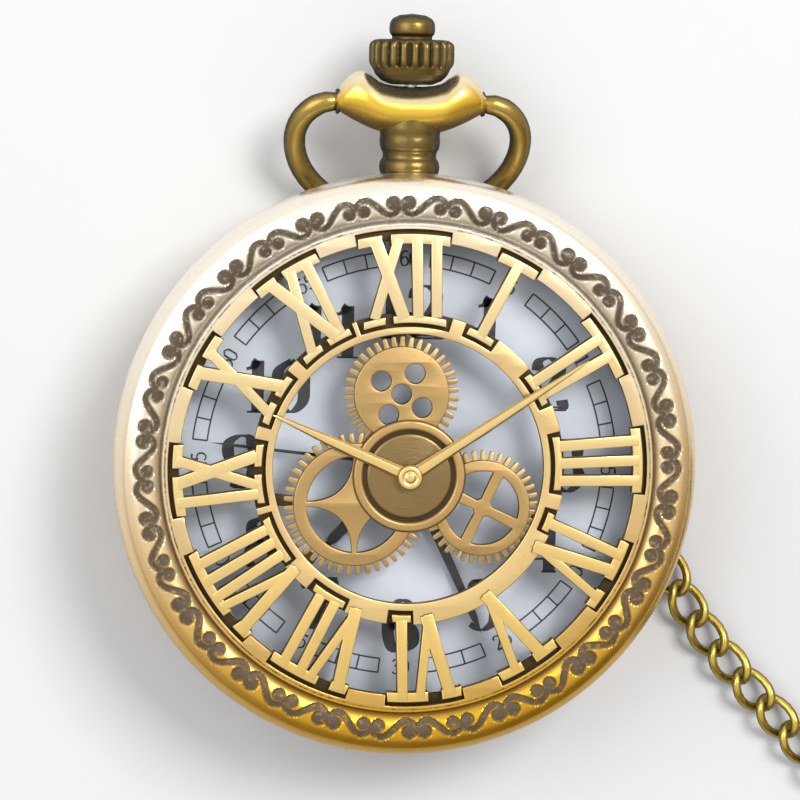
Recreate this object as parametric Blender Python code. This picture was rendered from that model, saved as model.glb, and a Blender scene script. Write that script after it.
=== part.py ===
"""Pocket watch with an openwork front cover over a quartz movement, lying on its back.

Blender 4.5, in metres. The functions below take millimetres, and MM turns them into metres.
+Z is the dial side, +Y is 12 o'clock, and the origin is the centre of the flat back.
"""

import math

import bmesh
import bpy
from mathutils import Matrix, Vector

MM = 0.001

# Driving sizes, in millimetres
SIDES = 32                  # facets round the large turned pieces
BAND_R = 22.3               # case band, outside
BAND_LOW = 4.65
BAND_TOP = 8.4
SEAT_R = 20.35              # bore of the band, where the dial and crystal ring sit
BACK_FLAT_R = 11.0          # the flat that the watch rests on
BACK_RIM_R = 21.7
BACK_RIM_Z = 4.4
BACK_WALL = 0.7
COVER_R = 22.5
PLATE_LOW = 11.25           # underside and top of the cover's openwork
PLATE_TOP = 12.0
COVER_TURN = 3.0            # the cover's pattern sits this many degrees round from 12 o'clock
HINGE_Y = -22.2
HINGE_Z = 8.0
KNUCKLE_R = 0.45
STEM_Z = 6.5
STEM_R = 0.5
BOW_Y = 27.9
BOW_ROD_R = 0.85
BOW_HALF = 8.85             # half width of the bow, to the middle of its rod
BOW_WIDEST = 3.5            # distance from the pivots to the widest place
BOW_LENGTH = 10.7           # distance from the pivots to the middle of the far rod
DIAL_LOW = 7.95
DIAL_TOP = 8.25
PLATE_R = 12.0              # movement's main plate
TRAIN_STEP = 2.88           # centre to minute wheel
THIRD_STEP = 3.672          # centre to third wheel
FIFTH_STEP = 3.6            # centre to fifth wheel
ROTOR_STEP = 2.8            # fifth wheel to rotor
TIME_SHOWN = (7, 25, 46)    # hours, minutes and seconds at rest
CHAIN_D = 2.9
CHAIN_Z = 1.5
COIL_AT = (53.5, -17.0)
COIL_R = 15.5               # middle of the coil's turns
COIL_HALF = 2.95            # half the width of the coil's bundle

# Colours as linear red, green, blue, with roughness and metallic
BRONZE = (0.42, 0.27, 0.10, 0.32, 1.0)
DARK_BRONZE = (0.16, 0.10, 0.045, 0.38, 1.0)
GOLD = (0.72, 0.50, 0.18, 0.25, 1.0)
OLIVE = (0.34, 0.25, 0.07, 0.33, 1.0)
STEEL = (0.55, 0.55, 0.56, 0.3, 1.0)
BRASS = (0.6, 0.43, 0.17, 0.3, 1.0)
COPPER = (0.55, 0.22, 0.09, 0.35, 1.0)
WHITE = (0.86, 0.87, 0.88, 0.5, 0.0)
BLACK = (0.015, 0.015, 0.017, 0.4, 0.0)
NYLON = (0.75, 0.74, 0.7, 0.5, 0.0)
BOARD = (0.02, 0.12, 0.06, 0.5, 0.0)
CLEAR = (0.95, 0.97, 1.0, 0.05, 0.0)


# ---------------------------------------------------------------- shape functions

def material(name, colour):
    made = bpy.data.materials.new(name)
    made.use_nodes = True
    made.diffuse_color = (*colour[:3], 1.0)
    shader = made.node_tree.nodes["Principled BSDF"]
    shader.inputs["Base Color"].default_value = (*colour[:3], 1.0)
    shader.inputs["Roughness"].default_value = colour[3]
    shader.inputs["Metallic"].default_value = colour[4]
    return made


def place(name, mesh, colour, pivot=(0, 0, 0)):
    """Makes the named piece from a bmesh in millimetres, with its origin at its pivot."""
    bmesh.ops.remove_doubles(mesh, verts=mesh.verts, dist=1e-5)
    bmesh.ops.recalc_face_normals(mesh, faces=mesh.faces)
    bmesh.ops.translate(mesh, verts=mesh.verts, vec=-Vector(pivot))
    bmesh.ops.scale(mesh, verts=mesh.verts, vec=(MM, MM, MM))
    data = bpy.data.meshes.new(name)
    mesh.to_mesh(data)
    mesh.free()
    data.shade_smooth()
    data.set_sharp_from_angle(angle=math.radians(35))
    data.materials.append(material(name, colour))
    piece = bpy.data.objects.new(name, data)
    piece.location = Vector(pivot) * MM
    bpy.context.scene.collection.objects.link(piece)
    return piece


def boolean(piece, operation, tools):
    """Joins the tools to the piece or cuts them from it, and keeps the evaluated mesh."""
    for tool in tools:
        step = piece.modifiers.new(operation.lower(), "BOOLEAN")
        step.operation = operation
        step.solver = "EXACT"
        step.use_self = operation == "UNION"
        step.object = tool
    bpy.context.view_layer.update()
    graph = bpy.context.evaluated_depsgraph_get()
    made = bpy.data.meshes.new_from_object(piece.evaluated_get(graph))
    piece.modifiers.clear()
    piece.data = made
    while len(made.materials) > 1:
        made.materials.pop()
    made.shade_smooth()
    made.set_sharp_from_angle(angle=math.radians(35))
    for tool in tools:
        bpy.data.objects.remove(tool, do_unlink=True)
    return piece


def polar(radius, degrees):
    return (radius * math.cos(math.radians(degrees)), radius * math.sin(math.radians(degrees)))


def circle(radius, sides, centre=(0, 0)):
    step = 360 / sides
    points = [polar(radius, (i + 0.5) * step) for i in range(sides)]
    return [(x + centre[0], y + centre[1]) for x, y in points]


def arc(radius, start, end, steps):
    return [polar(radius, start + (end - start) * i / steps) for i in range(steps + 1)]


def turned(outline, sides=SIDES, axis="Z", centre=(0, 0, 0), flutes=None):
    """Turns a closed outline of (radius, height) round an axis.

    flutes gives how far every second facet's corner is cut in, for each outline point.
    """
    mesh = bmesh.new()
    rings = []
    for n, (radius, height) in enumerate(outline):
        if radius < 1e-6:
            rings.append([mesh.verts.new((0, 0, height))])
            continue
        ring = []
        for i in range(sides):
            cut = flutes[n] if flutes and i % 2 else 0.0
            x, y = polar(radius - cut, 360 * i / sides)
            ring.append(mesh.verts.new((x, y, height)))
        rings.append(ring)
    for n, low in enumerate(rings):
        high = rings[(n + 1) % len(rings)]
        for i in range(sides):
            j = (i + 1) % sides
            corners = [low[i % len(low)], low[j % len(low)], high[j % len(high)], high[i % len(high)]]
            corners = list(dict.fromkeys(corners))
            if len(corners) > 2:
                mesh.faces.new(corners)
    turn = {
        "Z": Matrix(),
        "Y": Matrix.Rotation(-math.pi / 2, 4, "X"),
        "X": Matrix.Rotation(math.pi / 2, 4, "Y"),
    }
    bmesh.ops.transform(mesh, matrix=Matrix.Translation(centre) @ turn[axis], verts=mesh.verts)
    return mesh


def rod(radius, start, end, sides=12, axis="Z", centre=(0, 0, 0)):
    return turned([(0, start), (radius, start), (radius, end), (0, end)], sides, axis, centre)


def box(low, high):
    mesh = bmesh.new()
    bmesh.ops.create_cube(mesh, size=1.0)
    for vert in mesh.verts:
        for k in range(3):
            vert.co[k] = high[k] if vert.co[k] > 0 else low[k]
    return mesh


def stack(sections, holes=(), shift=(0, 0)):
    """A flat or stepped solid: sections of (outline, low, high) that follow one another upwards.

    Of two sections that meet, one outline lies wholly inside the other. The holes go right through.
    """
    mesh = bmesh.new()

    def loop(outline, height):
        verts = [mesh.verts.new((x + shift[0], y + shift[1], height)) for x, y in outline]
        edges = [mesh.edges.new((verts[i - 1], verts[i])) for i in range(len(verts))]
        return verts, edges

    def wall(low, high):
        for i in range(len(low)):
            mesh.faces.new((low[i - 1], low[i], high[i], high[i - 1]))

    def cap(edges):
        bmesh.ops.triangle_fill(mesh, use_beauty=True, use_dissolve=False, edges=edges)

    bottom, top = sections[0][1], sections[-1][2]
    hole_lows = [loop(hole, bottom) for hole in holes]
    hole_highs = [loop(hole, top) for hole in holes]
    lows = [loop(outline, low) for outline, low, _ in sections]
    highs = [loop(outline, high) for outline, _, high in sections]
    cap(lows[0][1] + [edge for hole in hole_lows for edge in hole[1]])
    for below, above in zip(highs[:-1], lows[1:]):
        cap(below[1] + above[1])
    cap(highs[-1][1] + [edge for hole in hole_highs for edge in hole[1]])
    for low, high in list(zip(lows, highs)) + list(zip(hole_lows, hole_highs)):
        wall(low[0], high[0])
    return mesh


def swept(path, radii, sides, across):
    """A round rod along a flat path; across is the direction square to the path's plane."""
    mesh = bmesh.new()
    points = [Vector(point) for point in path]
    rings = []
    for i, point in enumerate(points):
        ahead = (points[min(i + 1, len(points) - 1)] - points[max(i - 1, 0)]).normalized()
        side = ahead.cross(across).normalized()
        ring = []
        for k in range(sides):
            x, y = polar(radii[i], 360 * (k + 0.5) / sides)
            ring.append(mesh.verts.new(point + side * x + Vector(across) * y))
        rings.append(ring)
    for low, high in zip(rings[:-1], rings[1:]):
        for k in range(sides):
            mesh.faces.new((low[k - 1], low[k], high[k], high[k - 1]))
    mesh.faces.new(rings[0])
    mesh.faces.new(rings[-1])
    return mesh


def torus(ring_r, wire_r, sides, wire_sides):
    outline = [(ring_r + x, y) for x, y in circle(wire_r, wire_sides)]
    return turned(outline, sides)


def merged(meshes):
    """Several closed bodies in one bmesh, to be used as one tool."""
    whole = bmesh.new()
    for mesh in meshes:
        data = bpy.data.meshes.new("shape")
        mesh.to_mesh(data)
        mesh.free()
        whole.from_mesh(data)
        bpy.data.meshes.remove(data)
    return whole


def tool(mesh):
    """A hidden helper for a Boolean."""
    made = place("tool", mesh, STEEL)
    made.hide_render = True
    made.display_type = "WIRE"
    return made


# ---------------------------------------------------------------- case

def back_outline():
    """The back's domed outside, from the flat to the rim, as part of a circle; and its inside."""
    width = BACK_RIM_R - BACK_FLAT_R
    dome_r = (width ** 2 + BACK_RIM_Z ** 2) / (2 * BACK_RIM_Z)
    sweep = math.degrees(math.asin(width / dome_r))
    outside = [(x + BACK_FLAT_R, y + dome_r) for x, y in arc(dome_r, -90, -90 + sweep, 5)]
    inside = [(x + BACK_FLAT_R, y + dome_r) for x, y in arc(dome_r - BACK_WALL, -90 + sweep - 5, -90, 4)]
    return outside, inside


def make_back():
    outside, inside = back_outline()
    lip = [(21.7, 4.55), (21.0, 4.58), (21.0, 5.5), (20.5, 5.5)]
    place("back_cover", turned([(0, 0)] + outside + lip + inside + [(0, BACK_WALL)]), BRONZE)
    place("back_gasket", turned([(20.6, 5.57), (20.95, 5.57), (20.95, 5.83), (20.6, 5.83)]), BLACK)


def make_band():
    outline = [
        (21.05, BAND_LOW), (22.0, BAND_LOW), (BAND_R, 5.0), (22.35, 6.5), (BAND_R, 8.0), (22.0, BAND_TOP),
        (20.75, BAND_TOP), (20.75, 10.2), (SEAT_R, 10.2), (SEAT_R, 5.9), (21.05, 5.9),
    ]
    band = place("case_band", turned(outline), BRONZE)
    knuckles = []
    for side in (-1, 1):
        ends = sorted((side * 1.6, side * 4.2))
        knuckles.append(rod(KNUCKLE_R, *ends, axis="X", centre=(0, HINGE_Y, HINGE_Z)))
    boolean(band, "UNION", [tool(merged(knuckles))])
    notch = tool(box((-1.5, -23, 7.3), (1.5, -21.6, 8.8)))
    pin_hole = tool(rod(0.25, -6, 6, 8, "X", (0, HINGE_Y, HINGE_Z)))
    stem_hole = tool(rod(0.97, 19, 24, 12, "Y", (0, 0, STEM_Z)))
    boolean(band, "DIFFERENCE", [notch, pin_hole, stem_hole])
    place("hinge_pin", rod(0.2, -4.1, 4.1, 8, "X", (0, HINGE_Y, HINGE_Z)), STEEL)


def collar():
    """The saddle-shaped collar: upright ovals set along X, between its upper and lower edge."""
    stations = [
        (0.0, 25.5, 29.15, 2.6), (1.2, 25.5, 29.18, 2.6), (2.3, 25.65, 29.4, 2.55), (3.1, 25.9, 29.95, 2.45),
        (3.8, 26.2, 30.3, 2.3), (4.6, 26.6, 30.05, 2.0), (5.3, 27.0, 29.3, 1.6), (5.6, 27.2, 28.75, 1.2),
    ]
    both = [(-x, low, high, half) for x, low, high, half in reversed(stations[1:])] + stations
    mesh = bmesh.new()
    rings = []
    for x, low, high, half in both:
        ring = []
        for k in range(16):
            y, z = polar(1.0, 360 * k / 16)
            ring.append(mesh.verts.new((x, (low + high) / 2 + y * (high - low) / 2, STEM_Z + z * half)))
        rings.append(ring)
    for low, high in zip(rings[:-1], rings[1:]):
        for k in range(16):
            mesh.faces.new((low[k - 1], low[k], high[k], high[k - 1]))
    mesh.faces.new(rings[0])
    mesh.faces.new(rings[-1])
    return mesh


def make_pendant():
    """Neck with two bead rings, and the collar that carries the bow."""
    bead = [(2.05, 22.2), (2.3, 22.35), (2.42, 22.9), (2.3, 23.5), (2.08, 23.75), (2.08, 24.3),
            (2.3, 24.5), (2.42, 25.1), (2.3, 25.6), (2.0, 26.0), (2.0, 28.0), (0, 28.0)]
    pendant = place("pendant", turned([(0, 21.2)] + bead, 18, "Y", (0, 0, STEM_Z)), BRONZE)
    boolean(pendant, "UNION", [tool(collar())])
    outside_case = tool(turned([(0, 3), (22.62, 3), (22.62, 10), (0, 10)], 64))
    boolean(pendant, "DIFFERENCE", [outside_case])
    boolean(pendant, "UNION", [tool(rod(0.92, 21.2, 24, 12, "Y", (0, 0, STEM_Z)))])
    bore = tool(rod(0.6, 20, 31, 12, "Y", (0, 0, STEM_Z)))
    sockets = [tool(rod(0.56, *ends, 10, "X", (0, BOW_Y, STEM_Z))) for ends in ((4.5, 7), (-7, -4.5))]
    boolean(pendant, "DIFFERENCE", [bore] + sockets)


def bow_frame():
    """Bow plane: down towards the table and back under the case, so that its far rod just rests."""
    drop = math.asin((STEM_Z - BOW_ROD_R - 0.02) / BOW_LENGTH)
    along = Vector((0, -math.cos(drop), -math.sin(drop)))
    across = along.cross(Vector((1, 0, 0)))
    return along, across


def bow_point(x, s):
    along, _ = bow_frame()
    return Vector((x, BOW_Y, STEM_Z)) + along * s


def make_bow():
    along, across = bow_frame()
    shoulder = BOW_HALF - 5.9
    far = BOW_LENGTH - BOW_WIDEST
    half = [(4.65, 0.0, 0.5), (5.6, 0.0, 0.5), (5.75, 0.0, 0.62)]
    for t in (75, 55, 35, 15):
        x, s = polar(1.0, t)
        half.append((5.9 + x * shoulder, BOW_WIDEST - s * BOW_WIDEST, 0.85 if t < 60 else 0.74))
    for t in (0, 15, 30, 45, 60, 75):
        x, s = polar(1.0, t)
        half.append((x * BOW_HALF, BOW_WIDEST + s * far, BOW_ROD_R))
    whole = half + [(0.0, BOW_LENGTH, BOW_ROD_R)] + [(-x, s, r) for x, s, r in reversed(half)]
    path = [bow_point(x, s) for x, s, _ in whole]
    radii = [r for _, _, r in whole]
    place("bow", swept(path, radii, 10, across), DARK_BRONZE, (0, BOW_Y, STEM_Z))
    t = math.radians(55)
    at = bow_point(BOW_HALF * math.cos(t), BOW_WIDEST + far * math.sin(t))
    heading = (Vector((1, 0, 0)) * -BOW_HALF * math.sin(t) + along * far * math.cos(t)).normalized()
    ring = torus(1.12, 0.2, 20, 8)
    turn = Vector((0, 0, 1)).rotation_difference(heading).to_matrix().to_4x4()
    bmesh.ops.transform(ring, matrix=Matrix.Translation(at) @ turn, verts=ring.verts)
    place("jump_ring", ring, OLIVE, (0, BOW_Y, STEM_Z))


# ---------------------------------------------------------------- front cover

def letter_strokes(letter, left, width):
    """Strokes of one Roman letter as ((across, out), (across, out), width), feet towards the centre."""
    foot, head = 11.7, 18.4
    right, middle = left + width, left + width / 2
    if letter == "I":
        return [((middle, foot), (middle, head), 1.15)]
    if letter == "V":
        return [((middle, foot), (left + 0.55, head), 1.15), ((middle, foot), (right - 0.4, head), 0.7)]
    return [((right - 0.6, foot), (left + 0.6, head), 1.15), ((left + 0.6, foot), (right - 0.6, head), 0.7)]


def numeral(text, hour):
    """One numeral of straight bars between an inner and an outer serif bar, as closed bodies."""
    narrow = 1.75 if text.count("I") > 2 or len(text) > 3 else 2.1
    widths = [narrow if letter == "I" else 2.9 for letter in text]
    left = -sum(widths) / 2
    bodies = []
    turn = Matrix.Rotation(math.radians(COVER_TURN - 30 * hour), 4, "Z")
    for letter, width in zip(text, widths):
        for (x0, y0), (x1, y1), thick in letter_strokes(letter, left, width):
            reach = math.hypot(x1 - x0, y1 - y0) + 0.2
            body = box((-thick / 2, -0.2, PLATE_LOW + 0.1), (thick / 2, reach, 12.5))
            lean = Matrix.Rotation(math.atan2(x0 - x1, y1 - y0), 4, "Z")
            bmesh.ops.transform(body, matrix=turn @ Matrix.Translation((x0, y0, 0)) @ lean, verts=body.verts)
            bodies.append(body)
        left += width
    half = sum(widths) / 2 - 0.12
    for low, high, inset in ((11.65, 12.2, 1.0 if "V" in text else 0.0), (17.85, 18.5, 0.0)):
        body = box((inset - half, low, PLATE_LOW + 0.15), (half - inset, high, 12.42))
        bmesh.ops.transform(body, matrix=turn, verts=body.verts)
        bodies.append(body)
    return bodies


def cog(teeth, tip, root, centre, phase=0.0):
    """Outline of a cog with one point at each tooth's tip and one between."""
    step = 360 / teeth
    points = []
    for k in range(teeth):
        points.append(polar(tip, phase + k * step))
        points.append(polar(root, phase + (k + 0.5) * step))
    return [(x + centre[0], y + centre[1]) for x, y in points]


def spoke_windows(count, outer, inner, half_gap, centre, turn):
    """Windows between straight spokes, as outlines."""
    windows = []
    for k in range(count):
        middle = turn + 360 * (k + 0.5) / count
        reach = 180 / count - math.degrees(half_gap / outer)
        near = 180 / count - math.degrees(half_gap / inner)
        edge = arc(outer, middle - reach, middle + reach, 4) + arc(inner, middle + near, middle - near, 2)
        windows.append([(x + centre[0], y + centre[1]) for x, y in edge])
    return windows


def cover_cogs():
    """The three fixed cogs round the hub and the ring that ties them together."""
    low, high = PLATE_LOW + 0.08, PLATE_TOP - 0.15
    top, left, right = (-0.66, 5.78), (-4.05, -2.77), (5.74, -2.93)
    holes = [circle(0.77, 10, top)]
    for x, y in ((-1.58, 0.99), (1.01, 1.59), (1.60, -1.02), (-0.95, -1.60)):
        holes.append(circle(0.77, 10, (top[0] + x, top[1] + y)))
    bodies = [stack([(cog(38, 4.4, 3.55, top), low, high)], holes)]
    bodies.append(stack([(cog(44, 5.5, 4.65, left), low + 0.03, high - 0.2)],
                        spoke_windows(4, 3.7, 1.5, 0.55, left, 10)))
    bodies.append(stack([(cog(38, 4.4, 3.6, right), low + 0.05, high - 0.05)],
                        spoke_windows(4, 2.8, 0.9, 0.4, right, 25)))
    webs = (((-1.1, 9.9), (-0.9, 11.2), 0.35), ((-7.2, -6.6), (-8.3, -7.9), 0.6),
            ((9.6, -3.6), (11.3, -3.9), 0.6), ((-8.8, -2.6), (-11.2, -2.4), 0.5))
    for (x0, y0), (x1, y1), half in webs:
        body = box((-half, -0.4, low + 0.02), (half, math.hypot(x1 - x0, y1 - y0) + 0.4, high - 0.25))
        lean = Matrix.Rotation(math.atan2(x0 - x1, y1 - y0), 4, "Z")
        bmesh.ops.transform(body, matrix=Matrix.Translation((x0, y0, 0)) @ lean, verts=body.verts)
        bodies.append(body)
    return bodies


def make_cover():
    """Domed rim with a hinge knuckle, Roman numerals between two rings, and the hub with its cogs."""
    outline = [
        (COVER_R, 8.55), (22.55, 9.6), (22.5, 10.7), (22.2, 11.5), (21.7, 12.1), (21.2, 12.38),
        (20.5, 12.45), (19.9, 12.4), (19.2, PLATE_TOP), (17.5, PLATE_TOP), (17.5, PLATE_LOW), (20.7, PLATE_LOW),
        (21.4, 10.9), (21.65, 10.3), (21.65, 8.55),
    ]
    cover = place("front_cover", turned(outline), BRONZE, (0, HINGE_Y, HINGE_Z))
    ring = turned([(10.6, PLATE_LOW), (12.3, PLATE_LOW), (12.3, 12.05), (10.6, 12.05)], SIDES)
    letters = ["XII", "I", "II", "III", "IV", "V", "VI", "VII", "VIII", "IX", "X", "XI"]
    for hour, text in enumerate(letters):
        boolean(cover, "UNION", [tool(merged(numeral(text, hour)))])
    boolean(cover, "UNION", [tool(ring)])
    hub = turned([(0, PLATE_LOW), (4.35, PLATE_LOW), (4.35, 12.3), (3.6, 12.3), (3.4, 12.05), (0, 12.05)], 32,
                 centre=(0.04, -0.5, 0))
    boolean(cover, "UNION", [tool(mesh) for mesh in cover_cogs()] + [tool(hub)])
    leaf = box((-1.35, -22.42, HINGE_Z), (1.35, -21.95, 9.0))
    knuckle = rod(KNUCKLE_R, -1.4, 1.4, 12, "X", (0, HINGE_Y, HINGE_Z))
    boolean(cover, "UNION", [tool(leaf), tool(knuckle)])
    pin_hole = tool(rod(0.25, -3, 3, 8, "X", (0, HINGE_Y, HINGE_Z)))
    rivet_hole = tool(rod(0.45, 10, 14, 12, "Z", (0.04, -0.5, 0)))
    boolean(cover, "DIFFERENCE", [pin_hole, rivet_hole])


def make_cover_hands():
    """Two fixed hands on the hub, at ten minutes past ten, under a riveted cap."""
    hub = (0.04, -0.5)
    hands = (("cover_hour_hand", (-10.5, 4.1), 12.4, 12.6), ("cover_minute_hand", (13.6, 8.6), 12.65, 12.85))
    for name, tip, low, high in hands:
        away = Vector((tip[0] - hub[0], tip[1] - hub[1]))
        lean = math.degrees(math.atan2(away.y, away.x))
        blade = [polar(0.9, lean + 60 + 30 * k) for k in range(9)]
        blade += [polar(away.length * 0.55, lean - 3.2), polar(away.length * 0.92, lean - 0.9),
                  polar(away.length, lean), polar(away.length * 0.92, lean + 0.9),
                  polar(away.length * 0.55, lean + 3.2)]
        place(name, stack([(blade, low, high)], [circle(0.5, 12)], hub), GOLD, (0, HINGE_Y, HINGE_Z))
    cap = [(0, 11.0), (0.4, 11.0), (0.4, 12.9), (1.0, 12.9), (0.95, 13.15), (0.7, 13.3), (0, 13.35)]
    place("cover_cap", turned(cap, 16, centre=(*hub, 0)), GOLD, (0, HINGE_Y, HINGE_Z))


# ---------------------------------------------------------------- dial side

def make_dial_side():
    seat = [(18.9, 8.3), (20.3, 8.3), (20.3, 10.4), (19.35, 10.4), (19.35, 9.6), (18.9, 9.6)]
    place("crystal_ring", turned(seat), DARK_BRONZE)
    glass = [(0, 9.66), (19.25, 9.66), (19.25, 10.45), (16.0, 10.6), (9.0, 10.72), (0, 10.78)]
    place("crystal", turned(glass), CLEAR)
    place("dial", stack([(circle(20.2, SIDES), DIAL_LOW, DIAL_TOP)], [circle(0.95, 16)]), WHITE)
    frame = [(12.15, 4.95), (20.25, 4.95), (20.25, 7.9), (12.15, 7.9)]
    holder = place("movement_holder", turned(frame), NYLON)
    boolean(holder, "DIFFERENCE", [tool(rod(0.65, 11, 22, 12, "Y", (0, 0, STEM_Z)))])
    hook = arc(21.5, 94, 97, 1)
    strip = arc(21.15, 70, 100, 10) + arc(21.4, 100, 97, 1) + hook[::-1] + arc(21.4, 94, 70, 8)
    place("cover_catch", stack([(strip, 8.5, 9.3)]), STEEL, (*polar(21.27, 70), 8.9))
    lift = arc(21.0, 200, 250, 12) + arc(21.25, 250, 200, 12)
    place("lift_spring", stack([(lift, 8.48, 9.2)]), STEEL)


def clock_degrees(share):
    """Direction of a hand from its share of a full clockwise turn, as an angle from +X."""
    return 90 - 360 * share


def make_hands():
    hours, minutes, seconds = TIME_SHOWN
    minute_share = (minutes + seconds / 60) / 60
    shares = {"hour": (hours + minute_share) / 12, "minute": minute_share, "second": seconds / 60}
    sizes = {
        "hour": (9.0, 0.55, 0.28, 1.25, 0.89, 8.45, 8.62),
        "minute": (14.6, 0.45, 0.2, 1.0, 0.49, 8.85, 9.0),
        "second": (15.2, 0.14, 0.08, 0.6, 0.17, 9.2, 9.32),
    }
    for hand, (length, wide, tip, boss, bore, low, high) in sizes.items():
        lean = math.radians(clock_degrees(shares[hand]))
        tail = -3.6 if hand == "second" else -1.6
        side = [(tail, wide), (-boss * 0.6, wide), (0, boss), (boss * 0.6, wide), (length * 0.9, tip * 1.4)]
        blade = [(x, -y) for x, y in side] + [(length, 0)] + side[::-1]
        cos, sin = math.cos(lean), math.sin(lean)
        blade = [(x * cos - y * sin, x * sin + y * cos) for x, y in blade]
        place(f"{hand}_hand", stack([(blade, low, high)], [circle(bore, 10)]), BLACK)


# ---------------------------------------------------------------- movement

def meshed_phase(phase, teeth, other_teeth, towards):
    """Turn of the second cog that puts a gap where the first cog's tooth points."""
    step = 360 / teeth
    past = (towards - phase) % step
    return towards + 180 + past * teeth / other_teeth + 180 / other_teeth


def wheel(teeth, module, phase=0.0):
    """Outline of a small gear: a tip and a root point for each tooth."""
    pitch_r = teeth * module / 2
    return cog(teeth, pitch_r + 0.7 * module, pitch_r - 0.95 * module, (0, 0), phase)


def train_places():
    """Where each arbor stands, and the direction of each mesh in degrees."""
    fifth = polar(FIFTH_STEP, 215)
    rotor = tuple(a + b for a, b in zip(fifth, polar(ROTOR_STEP, 250)))
    return {"centre": (0, 0), "third": polar(THIRD_STEP, 60), "fifth": fifth, "rotor": rotor,
            "minute": polar(TRAIN_STEP, 90)}


def arbor(name, sections, holes, at, colour):
    place(name, stack(sections, holes, at), colour, (*at, 0))


def make_train():
    """Rotor to fourth, third and centre wheel, then minute and hour wheel: 1800 to 60 to 1 to 1/12."""
    at = train_places()
    fifth_phase = meshed_phase(0, 8, 48, 250 - 180)
    fourth_phase = meshed_phase(0, 8, 40, 215 - 180)
    third_phase = meshed_phase(0, 8, 60, 60)
    centre_phase = meshed_phase(0, 8, 64, 60 + 180)
    minute_phase = meshed_phase(0, 12, 36, 90)
    hour_phase = meshed_phase(0, 10, 40, 90 + 180)
    thin, arm = circle(0.12, 8), circle(0.2, 8)
    arbor("rotor", [(circle(0.1, 8), 1.3, 2.15), (wheel(8, 0.1), 2.15, 2.9), (arm, 2.9, 3.15),
                    (circle(0.9, 20), 3.15, 3.9), (circle(0.1, 8), 3.9, 5.2)], [], at["rotor"], STEEL)
    arbor("fifth_wheel", [(thin, 1.3, 2.3), (wheel(48, 0.1, fifth_phase), 2.3, 2.5), (arm, 2.5, 3.4),
                          (wheel(8, 0.15), 3.4, 4.0), (thin, 4.0, 5.2)], [], at["fifth"], BRASS)
    axle = circle(0.15, 8)
    arbor("fourth_wheel", [(axle, 1.3, 2.9), (wheel(8, 0.108), 2.9, 3.4), (circle(0.28, 8), 3.4, 3.6),
                           (wheel(40, 0.15, fourth_phase), 3.6, 3.8), (axle, 3.8, 9.34)], [], at["centre"], BRASS)
    arbor("third_wheel", [(thin, 1.3, 3.0), (wheel(60, 0.108, third_phase + 180), 3.0, 3.2), (arm, 3.2, 3.45),
                          (wheel(8, 0.102), 3.45, 4.35), (thin, 4.35, 5.2)], [], at["third"], BRASS)
    pipe = circle(0.45, 12)
    arbor("centre_wheel", [(wheel(64, 0.102, centre_phase + 180), 4.05, 4.25), (pipe, 4.25, 5.5),
                           (wheel(12, 0.12), 5.5, 6.1), (pipe, 6.1, 9.02)], [circle(0.25, 10)], at["centre"], BRASS)
    arbor("minute_wheel", [(arm, 4.6, 5.6), (wheel(36, 0.12, minute_phase), 5.6, 5.85),
                           (wheel(10, 0.1152), 5.85, 7.0)], [], at["minute"], BRASS)
    arbor("hour_wheel", [(wheel(40, 0.1152, hour_phase), 6.5, 6.75), (circle(0.82, 14), 6.75, 8.64)],
          [circle(0.54, 12)], at["centre"], BRASS)


SCREWS = {"bridge_screw_1": (-5.9, -1.6), "bridge_screw_2": (5.4, 1.6), "strap_screw": (1.2, -8.6)}
LEVER_AT = (2.5, 10.3)
BATTERY_AT = (6.0, -5.0)
CORE_ENDS = ((-10.2, -2.2), (-4.6, -9.6))


def make_plates():
    """Main plate above the train, bridge below it, and the screws and lever posts through them."""
    at = train_places()
    pivots = [circle(0.18, 8, at[name]) for name in ("third", "fifth", "rotor")]
    posts = [circle(0.35, 10, spot) for spot in SCREWS.values()]
    plate_holes = pivots + posts + [circle(0.53, 12), circle(0.25, 8, at["minute"]), circle(0.3, 8, LEVER_AT)]
    place("main_plate", stack([(circle(PLATE_R, 48), 4.45, 5.35)], plate_holes), NYLON)
    bridge = [(-5.2, -5.9), (-3.0, -5.8), (1.5, -1.6), (6.2, 0.8), (6.3, 2.4), (2.4, 4.4), (0.9, 4.1),
              (-3.5, 0.6), (-6.8, -0.9), (-6.9, -2.3)]
    bridge_holes = pivots + posts[:2] + [circle(0.2, 8)]
    place("train_bridge", stack([(bridge, 1.25, 1.8)], bridge_holes), STEEL)
    for name, (x, y) in SCREWS.items():
        head = 1.2
        outline = [(0, head - 0.3), (0.6, head - 0.3), (0.6, head), (0.3, head), (0.3, 5.3), (0, 5.3)]
        place(name, turned(outline, 12, centre=(x, y, 0)), STEEL)


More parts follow.
